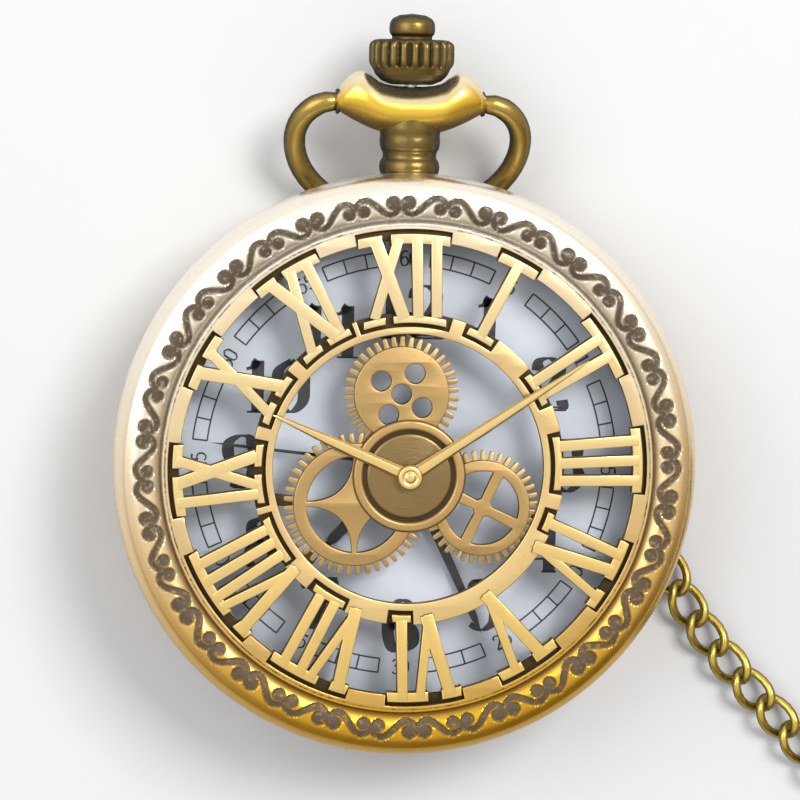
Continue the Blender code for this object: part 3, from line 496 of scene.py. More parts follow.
def mixed(tree, factor, first, second, blend="MIX"):
    made = add(tree, "ShaderNodeMix", data_type="RGBA", blend_type=blend)
    for index, value in ((0, factor), (6, first), (7, second)):
        if isinstance(value, bpy.types.NodeSocket):
            tree.links.new(value, made.inputs[index])
        else:
            made.inputs[index].default_value = value
    return made.outputs[2]


def calc(tree, operation, a, b=0.0):
    return add(tree, "ShaderNodeMath", {0: a, 1: b}, operation=operation).outputs[0]


def ranged(tree, value, low, high, start=0.0, end=1.0):
    """Smooth change between two values; the first may be the larger."""
    return add(tree, "ShaderNodeMapRange", {0: value, 1: low, 2: high, 3: start, 4: end},
               interpolation_type="SMOOTHSTEP").outputs[0]


def patina_group():
    """Old gilding with painted light: pale towards 12 o'clock and deep towards 6 as a painted reflection,
    and dark in recesses and on steep sides as painted shade.

    It is lightly mottled, and rubbed bright in specks.
    """
    group, given, out = shader_group("patina_and_painted_light", [
        ("Place", "Vector", None), ("Facing", "Vector", None), ("Pale", "Color", None),
        ("Deep", "Color", None),
        ("Dark", "Color", None), ("Recess", "Float", 0.0), ("Sides", "Float", 0.5), ("Gloss", "Float", 0.3),
        ("Mottle", "Float", 0.3), ("Wear", "Float", 0.3), ("Reach", "Float", 0.85),
        ("Follow", "Float", 0.0),
        ("Under", "Float", 0.0)], [("Color", "Color"), ("Metal", "Float"), ("Roughness", "Float"),
                                   ("Height", "Float")])
    place, facing = given.outputs["Place"], given.outputs["Facing"]
    parts = add(group, "ShaderNodeSeparateXYZ", {0: place})
    # Painted reflection: the tone runs from the pale colour towards 12 o'clock to the deep one towards 6.
    slope = calc(group, "ADD", parts.outputs[1], calc(group, "MULTIPLY", parts.outputs[0], -0.15))
    tone = ranged(group, slope, 0.020, -0.021)
    face = add(group, "ShaderNodeSeparateXYZ", {0: facing})
    # Painted light: where Follow is set, the tone follows the facing instead, pale on faces turned to 12
    # o'clock and deep on the rest.
    rounded = ranged(group, face.outputs[1], 0.8, 0.05)
    tone = calc(group, "ADD", calc(group, "MULTIPLY", tone,
                                   calc(group, "SUBTRACT", 1.0, given.outputs["Follow"])),
                calc(group, "MULTIPLY", rounded, given.outputs["Follow"]))
    tint = mixed(group, tone, given.outputs["Pale"], given.outputs["Deep"])
    cloud = add(group, "ShaderNodeTexNoise", {"Vector": place, "Scale": 420.0, "Detail": 5.0,
                                              "Roughness": 0.65})
    speck = add(group, "ShaderNodeTexNoise", {"Vector": place, "Scale": 2600.0, "Detail": 3.0,
                                              "Roughness": 0.6})
    stain = calc(group, "MULTIPLY", ranged(group, cloud.outputs[0], 0.5, 0.78), given.outputs["Mottle"])
    reach = given.outputs["Reach"]
    # Painted shade: Sides darkens steep sides, and Under darkens sides facing 6 o'clock.
    steep = ranged(group, face.outputs[2], reach, calc(group, "SUBTRACT", reach, 0.6))
    under = calc(group, "MULTIPLY", ranged(group, face.outputs[1], -0.15, -0.85), given.outputs["Under"])
    steep = calc(group, "MAXIMUM", calc(group, "MULTIPLY", steep, given.outputs["Sides"]), under)
    rubbed = calc(group, "MULTIPLY", ranged(group, speck.outputs[0], 0.52, 0.7), given.outputs["Wear"])
    # The darkening joins painted shade in recesses and on sides with the real mottled stains; rubbed specks
    # take it away.
    dark = calc(group, "MAXIMUM", calc(group, "MAXIMUM", given.outputs["Recess"], steep), stain)
    dark = calc(group, "MULTIPLY", dark, calc(group, "SUBTRACT", 1.0, rubbed))
    colour = mixed(group, dark, tint, given.outputs["Dark"])
    rough = calc(group, "ADD", given.outputs["Gloss"], calc(group, "MULTIPLY", dark, 0.3))
    rough = calc(group, "ADD", rough, calc(group, "MULTIPLY", calc(group, "SUBTRACT", cloud.outputs[0],
                                                                   0.5), 0.16))
    height = calc(group, "ADD", calc(group, "MULTIPLY", speck.outputs[0], 0.5),
                  calc(group, "MULTIPLY", cloud.outputs[0], 0.5))
    metal = calc(group, "SUBTRACT", 1.0, calc(group, "MULTIPLY", dark, 0.65))
    for label, value in (("Color", colour), ("Metal", metal), ("Roughness", rough), ("Height", height)):
        group.links.new(value, out.inputs[label])
    return group


def grain_group():
    """Fine tooling lines, round a centre or straight along Y, as a height."""
    group, given, out = shader_group("tooling", [
        ("Place", "Vector", None), ("Round", "Float", 1.0), ("Fineness", "Float", 9000.0)],
        [("Height", "Float")])
    parts = add(group, "ShaderNodeSeparateXYZ", {0: given.outputs["Place"]})
    angle = calc(group, "ARCTAN2", parts.outputs[1], parts.outputs[0])
    flat = add(group, "ShaderNodeVectorMath", {0: given.outputs["Place"], 1: (1, 1, 0)},
               operation="MULTIPLY")
    radius = add(group, "ShaderNodeVectorMath", {0: flat.outputs[0]}, operation="LENGTH").outputs["Value"]
    ring = add(group, "ShaderNodeCombineXYZ", {0: calc(group, "MULTIPLY", angle, 3.0),
                                               1: calc(group, "MULTIPLY", radius,
                                                       given.outputs["Fineness"])})
    line = add(group, "ShaderNodeCombineXYZ",
               {0: calc(group, "MULTIPLY", parts.outputs[0], given.outputs["Fineness"]),
                                               1: calc(group, "MULTIPLY", parts.outputs[1], 250.0),
                                               2: calc(group, "MULTIPLY", parts.outputs[2], 250.0)})
    lay = mixed(group, given.outputs["Round"], line.outputs[0], ring.outputs[0])
    lines = add(group, "ShaderNodeTexNoise", {"Vector": lay, "Scale": 1.0, "Detail": 4.0, "Roughness": 0.7})
    group.links.new(lines.outputs[0], out.inputs["Height"])
    return group


PATINA_AND_LIGHT = patina_group()
GRAIN = grain_group()


def gilt(name, pale, deep, dark, gloss=0.28, sides=0.55, mottle=0.35, wear=0.35, tooling=0.25,
         round_lines=1.0,
         centre=(0, 0, 0), recess=False, dents=0.25, reach=0.85, follow=0.0, under=0.0):
    """An old gilt or bronze metal, painted with light by the patina group: its pale and deep colours run as
    a painted reflection from 12 o'clock to 6, and sides, under, follow and recess set painted shade.
    """
    made = bpy.data.materials.new(name)
    made.use_nodes = True
    tree = made.node_tree
    shader = tree.nodes["Principled BSDF"]
    where = add(tree, "ShaderNodeTexCoord")
    patina_and_painted_light = add(tree, "ShaderNodeGroup", node_tree=PATINA_AND_LIGHT)
    tree.links.new(where.outputs["Object"], patina_and_painted_light.inputs["Place"])
    tree.links.new(where.outputs["Normal"], patina_and_painted_light.inputs["Facing"])
    for label, value in (("Pale", pale), ("Deep", deep), ("Dark", dark)):
        patina_and_painted_light.inputs[label].default_value = (*value, 1)
    for label, value in (("Sides", sides), ("Gloss", gloss), ("Mottle", mottle), ("Wear", wear),
                         ("Reach", reach),
                         ("Follow", follow), ("Under", under)):
        patina_and_painted_light.inputs[label].default_value = value
    if recess:
        cut = add(tree, "ShaderNodeAttribute", attribute_name="recess", attribute_type="GEOMETRY")
        tree.links.new(cut.outputs["Fac"], patina_and_painted_light.inputs["Recess"])
    shift = add(tree, "ShaderNodeMapping", {"Vector": where.outputs["Object"]})
    shift.inputs["Location"].default_value = [-value * MM for value in centre]
    grain = add(tree, "ShaderNodeGroup", node_tree=GRAIN)
    tree.links.new(shift.outputs[0], grain.inputs["Place"])
    grain.inputs["Round"].default_value = round_lines
    height = calc(tree, "ADD", calc(tree, "MULTIPLY", grain.outputs[0], tooling),
                  calc(tree, "MULTIPLY", patina_and_painted_light.outputs["Height"], dents))
    bump = add(tree, "ShaderNodeBump", {"Height": height, "Strength": 0.5, "Distance": 0.00005})
    tree.links.new(patina_and_painted_light.outputs["Color"], shader.inputs["Base Color"])
    tree.links.new(patina_and_painted_light.outputs["Metal"], shader.inputs["Metallic"])
    tree.links.new(patina_and_painted_light.outputs["Roughness"], shader.inputs["Roughness"])
    tree.links.new(bump.outputs[0], shader.inputs["Normal"])
    return made


def plain(name, light, shade, rough, metallic, scale=900.0, bump=0.15, stretch=(1, 1, 1)):
    """A simpler surface: two close tones clouded together, with a fine texture."""
    made = bpy.data.materials.new(name)
    made.use_nodes = True
    tree = made.node_tree
    shader = tree.nodes["Principled BSDF"]
    shader.inputs["Metallic"].default_value = metallic
    where = add(tree, "ShaderNodeTexCoord")
    lay = add(tree, "ShaderNodeMapping", {"Vector": where.outputs["Object"]})
    lay.inputs["Scale"].default_value = stretch
    cloud = add(tree, "ShaderNodeTexNoise", {"Vector": lay.outputs[0], "Scale": scale, "Detail": 5.0,
                                             "Roughness": 0.6})
    colour = mixed(tree, ranged(tree, cloud.outputs[0], 0.35, 0.68), (*light, 1), (*shade, 1))
    fine = add(tree, "ShaderNodeTexNoise", {"Vector": lay.outputs[0], "Scale": scale * 5, "Detail": 3.0})
    texture = add(tree, "ShaderNodeBump", {"Height": fine.outputs[0], "Strength": bump,
                                           "Distance": 0.00004})
    tree.links.new(colour, shader.inputs["Base Color"])
    tree.links.new(ranged(tree, cloud.outputs[0], 0.3, 0.7, rough - 0.05, rough + 0.07),
                   shader.inputs["Roughness"])
    tree.links.new(texture.outputs[0], shader.inputs["Normal"])
    return made


def crystal_finish():
    made = bpy.data.materials.new("watch_glass")
    made.use_nodes = True
    tree = made.node_tree
    shader = tree.nodes["Principled BSDF"]
    shader.inputs["Base Color"].default_value = (0.97, 0.985, 1.0, 1)
    shader.inputs["Transmission Weight"].default_value = 1.0
    shader.inputs["IOR"].default_value = 1.16
    where = add(tree, "ShaderNodeTexCoord")
    smear = add(tree, "ShaderNodeTexNoise", {"Vector": where.outputs["Object"], "Scale": 260.0,
                                             "Detail": 6.0})
    tree.links.new(ranged(tree, smear.outputs[0], 0.45, 0.75, 0.0, 0.02), shader.inputs["Roughness"])
    ripple = add(tree, "ShaderNodeBump", {"Height": smear.outputs[0], "Strength": 0.05,
                                          "Distance": 0.00002})
    tree.links.new(ripple.outputs[0], shader.inputs["Normal"])
    return made


# Each gilt runs from its pale colour at 12 o'clock to its deep one at 6 as a painted reflection; its sides,
# under and recess settings add painted shade, as on the numerals' walls and the sides of the neck, bow and
# chain.
DARK = (0.085, 0.055, 0.022)
RIM = gilt("rim_gilding", (0.98, 0.92, 0.80), (0.66, 0.38, 0.03), (0.10, 0.07, 0.04), 0.27, 0.05, 0.1, 0.25,
           0.10, recess=True, under=0.3)
FACE = gilt("numeral_gilding", (0.86, 0.69, 0.38), (0.78, 0.54, 0.17), (0.10, 0.06, 0.02), 0.31, 0.95, 0.2,
            0.25, 0.2, 0.0)
PLATE = gilt("plate_gilding", (0.88, 0.73, 0.48), (0.58, 0.36, 0.09), (0.09, 0.06, 0.02), 0.31, 0.9, 0.25,
             0.3, 0.25)
INNER = gilt("ring_gilding", (0.72, 0.52, 0.25), (0.80, 0.58, 0.26), (0.09, 0.06, 0.02), 0.31, 0.9, 0.25,
             0.3, 0.25)
COG = gilt("cog_gilding", (0.50, 0.335, 0.14), (0.47, 0.30, 0.115), (0.06, 0.04, 0.015), 0.36, 0.95, 0.4,
           0.3, 0.3, centre=(*HUB, 0))
# The teeth are a darker copy of the cog gilding: painted shade on the lower level.
TEETH = gilt("teeth_gilding", (0.40, 0.27, 0.11), (0.50, 0.33, 0.13), (0.03, 0.02, 0.006), 0.36, 1.0, 0.5,
             0.2, 0.3, reach=0.95)
HUB_FACE = gilt("hub_bronze", (0.27, 0.19, 0.09), (0.22, 0.145, 0.055), (0.06, 0.04, 0.015), 0.34, 0.8, 0.3,
                0.3, 0.9, centre=(*HUB, 0))
# A dark finish for trenches, grooves, ties and the glass seat: painted shade where they lie deep.
TRENCH = gilt("trench_painted_shade", (0.07, 0.05, 0.025), (0.06, 0.04, 0.02), (0.02, 0.015, 0.01), 0.55, 0.3, 0.6,
              0.4, 0.2)
HAND_GILT = gilt("hand_gilding", (0.84, 0.62, 0.27), (0.80, 0.57, 0.22), (0.2, 0.12, 0.04), 0.24, 0.5, 0.1,
                 0.2, 0.1, 0.0)
BAND = gilt("band_gilding", (0.95, 0.86, 0.68), (0.50, 0.28, 0.02), DARK, 0.3, 0.05, 0.3, 0.35, 0.25,
            under=0.5)
NECK = gilt("neck_bronze", (0.20, 0.14, 0.045), (0.20, 0.14, 0.045), (0.012, 0.007, 0.002), 0.27, 1.0, 0.7,
            0.35, 0.3, 0.0, dents=1.2, reach=0.98)
# The collar's tone follows its facing, pale on top and dark underneath: painted light and painted shade.
COLLAR = gilt("collar_gilding", (0.95, 0.84, 0.58), (0.86, 0.56, 0.075), (0.10, 0.055, 0.008), 0.25, 0.12,
              0.1, 0.2, 0.15, 0.0, dents=0.4, follow=1.0, under=0.95)
BOW = gilt("bow_bronze", (0.40, 0.28, 0.075), (0.36, 0.235, 0.04), (0.016, 0.01, 0.002), 0.27, 0.97, 0.6,
           0.3, 0.3, 0.0, dents=0.9, reach=0.97)
# The crown is darker overall and darker in its flutes and underneath: painted shade.
CROWN = gilt("crown_bronze_painted_shade", (0.22, 0.15, 0.04), (0.22, 0.15, 0.04), (0.01, 0.006, 0.002), 0.28, 0.97, 0.6,
             0.35, 0.3, 0.0, recess=True, dents=0.7, reach=0.97, under=0.7)
CHAIN = gilt("chain_bronze", (0.62, 0.47, 0.10), (0.62, 0.47, 0.10), (0.045, 0.03, 0.006), 0.25, 0.9, 0.45,
             0.3, 0.2, 0.0, dents=0.6, reach=0.9)
BLACK = plain("hand_lacquer", (0.012, 0.012, 0.014), (0.02, 0.02, 0.022), 0.35, 0.0)
INK = plain("dial_ink", (0.012, 0.012, 0.015), (0.03, 0.03, 0.035), 0.6, 0.0, bump=0.05)
# The dial is given a dark blue-grey: painted shade under the cover.
DIAL = plain("dial_lacquer_painted_shade", (0.42, 0.445, 0.49), (0.46, 0.48, 0.52), 0.45, 0.0, 220.0, 0.06)
STEEL = plain("steel", (0.52, 0.52, 0.53), (0.62, 0.62, 0.62), 0.28, 1.0, 700.0, 0.25, (1, 6, 1))
BRASS = plain("brass", (0.70, 0.50, 0.20), (0.60, 0.42, 0.15), 0.3, 1.0, 900.0, 0.25)
COPPER = plain("copper_wire", (0.62, 0.25, 0.10), (0.45, 0.16, 0.06), 0.35, 1.0, 1500.0, 0.4, (1, 1, 8))
NYLON = plain("nylon", (0.78, 0.77, 0.73), (0.70, 0.69, 0.65), 0.5, 0.0)
RUBBER = plain("rubber", (0.02, 0.02, 0.02), (0.035, 0.035, 0.035), 0.6, 0.0)
BOARD = plain("circuit_board_green", (0.02, 0.12, 0.06), (0.03, 0.18, 0.08), 0.45, 0.0)
GLASS = crystal_finish()


# ---------------------------------------------------------------- case

def make_case():
    width = 21.7 - 11.0
    dome = (width ** 2 + 4.4 ** 2) / (2 * 4.4)
    sweep_angle = math.degrees(math.asin(width / dome))
    outside = arc(dome, -90, -90 + sweep_angle, 24, (11.0, dome))
    inside = arc(dome - 0.7, -90 + sweep_angle - 5, -90, 12, (11.0, dome))
    back = [(0, 0)] + outside + [(21.7, 4.55), (21.0, 4.58), (21.0, 5.5), (20.5, 5.5)] + inside + [(0, 0.7)]
    piece("back_shell", lathe(softened(back, 0.12, 2), 160), BAND, "case", ["back_cover"])
    band = [(21.05, 4.65), (22.0, 4.65), (22.3, 5.0), (22.42, 6.5), (22.3, 8.0), (22.0, 8.4), (20.75, 8.4),
            (20.75, 10.2),
            (20.35, 10.2), (20.35, 5.9), (21.05, 5.9)]
    parts = [lathe(softened(band, 0.3), 192)]
    for side in (-1, 1):
        barrel = softened([(0, 0), (0.45, 0), (0.45, 2.6), (0, 2.6)], 0.12)
        parts.append(turned_to(lathe(barrel, 24), "X", (1.6 if side > 0 else -4.2, HINGE[1], HINGE[2])))
    piece("band_ring", gathered(parts), BAND, "case", ["case_band"])
    bezel = [(18.9, 8.3), (20.3, 8.3), (20.3, 10.4), (19.35, 10.4), (19.35, 9.6), (18.9, 9.6)]
    # The seat takes the dark trench finish: painted shade.
    piece("glass_seat", lathe(softened(bezel, 0.06), 160), TRENCH, "case", ["crystal_ring"])
    glass = [(0, 9.66), (19.25, 9.66), (19.25, 10.45), (16.0, 10.6), (9.0, 10.72), (0, 10.78)]
    lens = piece("watch_crystal", lathe(softened(glass, 0.15), 160), GLASS, "case", ["crystal"])
    lens.visible_shadow = False


def smooth_line(points, steps):
    """A smooth curve through points of any dimension."""
    ends = [points[0]] + list(points) + [points[-1]]
    made = []
    for a, b, c, d in zip(ends, ends[1:], ends[2:], ends[3:]):
        for i in range(steps):
            t = i / steps
            made.append(tuple(((2 * q) + (r - p) * t + (2 * p - 5 * q + 4 * r - s) * t * t
                               + (3 * q - p - 3 * r + s) * t ** 3) / 2 for p, q, r, s in zip(a, b, c, d)))
    return made + [tuple(points[-1])]


def make_pendant():
    """Neck with two worn bead rings under a saddle-shaped collar."""
    beads = [(0, 21.2), (1.9, 21.2), (2.1, 22.3), (2.26, 22.45), (2.36, 22.9), (2.28, 23.35), (2.1, 23.6),
             (2.06, 23.85),
             (2.1, 24.1), (2.28, 24.35), (2.36, 24.9), (2.3, 25.4), (2.4, 25.8), (2.4, 28.0), (0, 28.0)]
    neck = turned_to(lathe(softened(beads, 0.22), 64), "Y", (0, 0, STEM_Z))
    piece("neck", neck, NECK, "case", ["pendant"])
    stations = [(0.0, 25.5, 29.15, 2.6), (1.2, 25.5, 29.18, 2.6), (2.3, 25.65, 29.4, 2.55),
                (3.1, 25.9, 29.95, 2.45),
                (3.8, 26.2, 30.3, 2.3), (4.6, 26.6, 30.05, 2.0), (5.3, 27.0, 29.3, 1.6),
                (5.6, 27.2, 28.75, 1.2)]
    both = [(-x, low, high, half) for x, low, high, half in reversed(stations[1:])] + stations
    mesh = bmesh.new()
    rings = []
    for x, low, high, half in smooth_line(both, 6):
        ring = []
        for k in range(40):
            y, z = polar(1.0, 9 * k)
            ring.append(mesh.verts.new((x, (low + high) / 2 + y * (high - low) / 2, STEM_Z + z * half)))
        rings.append(ring)
    for low, high in zip(rings, rings[1:]):
        for k in range(40):
            mesh.faces.new((low[k - 1], low[k], high[k], high[k - 1]))
    for ring in (rings[0], rings[-1]):
        side = math.copysign(1.0, ring[0].co.x)
        for shrink, out in ((0.86, 0.14), (0.6, 0.2)):
            middle = sum((v.co for v in ring), Vector()) / len(ring)
            inner = [mesh.verts.new(middle + (v.co - middle) * shrink + Vector((side * out, 0, 0)))
                     for v in ring]
            for k in range(40):
                mesh.faces.new((ring[k - 1], ring[k], inner[k], inner[k - 1]))
            ring = inner
        mesh.faces.new(ring)
    piece("collar", as_data(mesh), COLLAR, "case", ["pendant"], 50)
    bosses = []
    for side in (-1, 1):
        washer = softened([(0, 0), (0.98, 0), (0.98, 0.25), (0.8, 0.36), (0, 0.36)], 0.12)
        bosses.append(turned_to(lathe(washer, 32), "X", (5.45 if side > 0 else -5.81, BOW_Y, STEM_Z)))
    piece("bow_washers", gathered(bosses), CROWN, "case")


def bow_line():
    """The middle of the bow's rod, from pin to pin, lying down over the table."""
    drop = math.asin((STEM_Z - BOW_ROD - 0.02) / BOW_REACH)
    half = [(4.65, 0.0, 0.5), (5.6, 0.0, 0.55), (5.85, 0.02, 0.7)]
    for t in range(78, 0, -8):
        x, s = polar(1.0, t)
        half.append((5.9 + x * 2.95, 3.5 - s * 3.5, BOW_ROD if t < 64 else 0.8))
    for t in range(0, 90, 6):
        x, s = polar(1.0, t)
        half.append((x * 8.85, 3.5 + s * 7.2, BOW_ROD))
    whole = half + [(0.0, BOW_REACH, BOW_ROD)] + [(-x, s, r) for x, s, r in reversed(half)]
    place = [(x, BOW_Y - s * math.cos(drop), STEM_Z - s * math.sin(drop)) for x, s, _ in whole]
    return place, [r for _, _, r in whole]


def make_bow():
    path, radii = bow_line()
    piece("bow_rod", sweep(path, radii, 24), BOW, "bow", ["bow"])
    at, heading = Vector((5.08, 19.9, 1.55)), Vector((-0.87, -0.42, -0.26)).normalized()
    outward = Vector((0.44, -0.9, 0)).normalized()
    outward = (outward - heading * outward.dot(heading)).normalized()
    upward = heading.cross(outward)
    ring = []
    for k in range(40):
        x, y = polar(1.0, 9 * k)
        ring.append(at + outward * (0.42 + 1.55 * x) + upward * 1.15 * y)
    piece("jump_ring_wire", sweep(ring, [0.25] * 40, 12, closed=True), CHAIN, "bow",
          ["jump_ring"])


# ---------------------------------------------------------------- front cover

# Each numeral: half the width of its pads, and its letters with their places across it
NUMERALS = {
    12: (3.53, (("X", -1.31), ("I", 1.01), ("I", 2.5))), 1: (1.6, (("I", 0.0),)),
    2: (2.57, (("I", -0.78), ("I", 0.78))),
    3: (2.5, (("I", -1.57), ("I", 0.0), ("I", 1.57))), 4: (2.85, (("I", -1.75), ("V", 0.8))),
    5: (2.5, (("V", 0.0),)),
    6: (2.9, (("V", -0.85), ("I", 1.7))), 7: (3.2, (("V", -1.35), ("I", 0.72), ("I", 2.2))),
    8: (3.85, (("V", -2.05), ("I", -0.02), ("I", 1.42), ("I", 2.86))),
    9: (2.75, (("I", -1.75), ("X", 0.65))),
    10: (2.2, (("X", 0.0),)), 11: (2.65, (("X", -0.6), ("I", 1.65))),
}
# How far each numeral closes up towards its feet
FEET = {12: 0.95, 1: 1.0, 2: 0.75, 3: 0.85, 4: 0.8, 5: 1.0, 6: 0.8, 7: 0.85, 8: 0.78, 9: 0.75, 10: 1.0,
        11: 0.65}
# How far a numeral stands turned from its hour, in degrees
LEAN = {6: 2.2, 7: 2.2, 8: 1.5, 9: 0.4, 12: -0.5}
FOOT_IN, FOOT_OUT, HEAD_IN, HEAD_OUT = 11.28, 11.84, 17.32, 18.08


def bar(start, end, width, low, high):
    """A straight bar with rounded upper edges."""
    a, b = Vector(start), Vector(end)
    along = (b - a).normalized()
    side = Vector((along.y, -along.x)) * width / 2
    return plate([[tuple(a - side), tuple(a + side), tuple(b + side), tuple(b - side)]], low, high, 0.07)


def pad(left, right, inner, outer, low, high):
    """A bar that follows the ring, between two places across the numeral."""
    def edge(radius, first, last):
        return [(x, math.sqrt(radius ** 2 - x ** 2)) for x in np.linspace(first, last, 9)]
    return plate([edge(outer, left, right) + edge(inner, right, left)], low, high, 0.07)


def numeral(hour):
    half, letters = NUMERALS[hour]
    low, high = 11.3, 12.3
    parts = []
    for index, (letter, x) in enumerate(letters):
        top = high - 0.006 * index
        foot = x * FEET[hour]
        if letter == "I":
            parts.append(bar((foot, 11.6), (x, 17.8), 0.84, low, top))
        elif letter == "X":
            parts.append(bar((foot + 1.14, 11.6), (x - 0.92, 17.75), 0.98, low, top))
            parts.append(bar((foot - 1.14, 11.6), (x + 0.92, 17.75), 0.8, low, top - 0.003))
        else:
            parts.append(bar((foot + 0.12, 11.35), (x - 1.2, 17.75), 0.98, low, top))
            parts.append(bar((foot - 0.1, 11.35), (x + 1.2, 17.75), 0.72, low, top - 0.003))
    gaps = []
    for letter, x in letters:
        if letter == "X":
            gaps.append((x - 0.36, x + 0.3))
        if letter == "V":
            gaps.append((x - 0.5, x + 0.55))
    edges = [-half] + [value for gap in sorted(gaps) for value in gap] + [half]
    for left, right in zip(edges[::2], edges[1::2]):
        parts.append(pad(left, right, HEAD_IN, HEAD_OUT, low, high - 0.02))
    feet = foot_span(hour)
    if feet:
        gaps = [x * FEET[hour] + side * 0.3 for letter, x in letters if letter == "X" for side in (-1, 1)]
        edges = [feet[0]] + gaps + [feet[1]]
        for first, last in zip(edges[::2], edges[1::2]):
            parts.append(pad(first, last, FOOT_IN, FOOT_OUT, low, high - 0.02))
    data = gathered(parts)
    data.transform(Matrix.Rotation(math.radians(COVER_TURN + LEAN.get(hour, 0.0) - 30 * hour), 4, "Z"))
    return data


def head_span(hour):
    return (-NUMERALS[hour][0], NUMERALS[hour][0])


def foot_span(hour):
    """How far the pads at a numeral's feet reach; a V stands on its point and has none."""
    reach = {"I": 1.07 if hour == 1 else 0.72, "X": 1.98}
    feet = [(x * FEET[hour] - reach[letter], x * FEET[hour] + reach[letter])
            for letter, x in NUMERALS[hour][1] if letter != "V"]
    return (min(first for first, _ in feet), max(last for _, last in feet)) if feet else None


def notched(fixed, edge, notch, span):
    """Outlines of a ring whose one edge steps back round each numeral's pads."""
    cuts = []
    for hour in range(12, 0, -1):
        reach = span(hour)
        if reach:
            middle = 90 + COVER_TURN + LEAN.get(hour, 0.0) - 30 * hour
            ends = [middle - math.degrees(math.asin((x + side * 0.21) / notch)) for x,
                    side in zip(reach, (-1, 1))]
            cuts.append((ends[1], ends[0]))
    points = []
    for (start, end), following in zip(cuts, cuts[1:] + [(cuts[0][0] + 360, 0)]):
        points += arc(notch, start, end, 10)
        steps = max(4, round((following[0] - end) / 2.5))
        points += arc(edge, end, following[0], steps)
    return [points, arc(fixed, 0, 357.5, 143)]


def motif_object(name, points, edges=()):
    data = bpy.data.meshes.new(name)
    data.from_pydata(points, edges, [])
    made = bpy.data.objects.new(name, data)
    bpy.context.scene.collection.objects.link(made)
    return made


def make_rim():
    """The cover's domed rim, with its running scrolls."""
    middle = 20.2

    def wrapped(u, v):
        x, y = polar(middle + v, math.degrees(-u / middle))
        return (x, y, 0.0)

    half = smooth_line([(0.14, -0.1), (0.3, -0.4), (0.58, -0.6), (0.95, -0.64), (1.32, -0.46), (1.8, 0.0),
                        (2.28, 0.46),
                        (2.64, 0.63), (3.0, 0.58), (3.3, 0.38), (3.48, 0.1)], 4)
    points = [wrapped(u, v) for u, v in half] + [wrapped(-u, v) for u, v in half]
    count = len(half)
    edges = [(i, i + 1) for i in range(count - 1)] + [(i + count, i + count + 1) for i in range(count - 1)]
    lines = motif_object("scroll_lines", points, edges)
    dots = motif_object("scroll_dots", [wrapped(s * 0.58, 0.2) for s in (-1, 1)])
    small = motif_object("scroll_small_dots", [wrapped(3.6 + s * 0.57, -0.2) for s in (-1, 1)])
    crest = smooth_line([(18.98, 11.72), (19.35, 12.1), (19.9, 12.36), (20.5, 12.44), (21.1, 12.32),
                         (21.7, 12.0)], 6)
    outline = [(21.65, 8.55), (22.5, 8.55), (22.56, 8.75), (22.6, 9.6), (22.5, 10.4), (22.36, 11.0),
               (22.1, 11.55)]
    outline += crest[::-1] + [(18.94, 11.74), (18.9, 12.02), (18.83, 12.1), (18.6, 12.1), (18.6, 11.3),
                              (20.7, 11.25),
                              (21.4, 10.9), (21.65, 10.3)]
    blank = lathe(outline, 1440)
    rim = scroll_tree().grow(blank, RIM, Lines=lines, Dots=dots, **{"Small Dots": small}, Repeats=18,
                             Depth=0.2, Inside=19.2)
    for helper in (lines, dots, small):
        bpy.data.objects.remove(helper)
    rim.transform(Matrix.Rotation(math.radians(90 + COVER_TURN), 4, "Z"))
    return rim


def cog_blank(windows):
    """Edge loops of a cog's windows."""
    points, edges = [], []
    for window in windows:
        first = len(points)
        points += [(x, y, 0) for x, y in window]
        edges += [(first + i, first + (i + 1) % len(window)) for i in range(len(window))]
    data = bpy.data.meshes.new("windows")
    data.from_pydata(points, edges, [])
    return data


def rounded_edges(data, width, angle=50):
    """The mesh with its hard edges bevelled."""
    holder = bpy.data.objects.new("blank", data)
    bpy.context.scene.collection.objects.link(holder)
    step = holder.modifiers.new("edge", "BEVEL")
    step.width = width
    step.segments = 2
    step.limit_method = "ANGLE"
    step.angle_limit = math.radians(angle)
    bpy.context.view_layer.update()
    made = bpy.data.meshes.new_from_object(holder.evaluated_get(bpy.context.evaluated_depsgraph_get()))
    holder.modifiers.clear()
    bpy.data.objects.remove(holder)
    return made


def leaf_window(radius, depth, start, end):
    """A window between a ring's inner edge and a hollow-sided spoke."""
    a, b = Vector(polar(radius, start)), Vector(polar(radius, end))
    middle = Vector(polar(depth, (start + end) / 2))
    control = middle * 2 - (a + b) / 2
    inner = [tuple(b * (1 - t) ** 2 + control * 2 * t * (1 - t) + a * t * t)
             for t in [i / 12 for i in range(1, 12)]]
    return arc(radius, start, end, 16) + inner


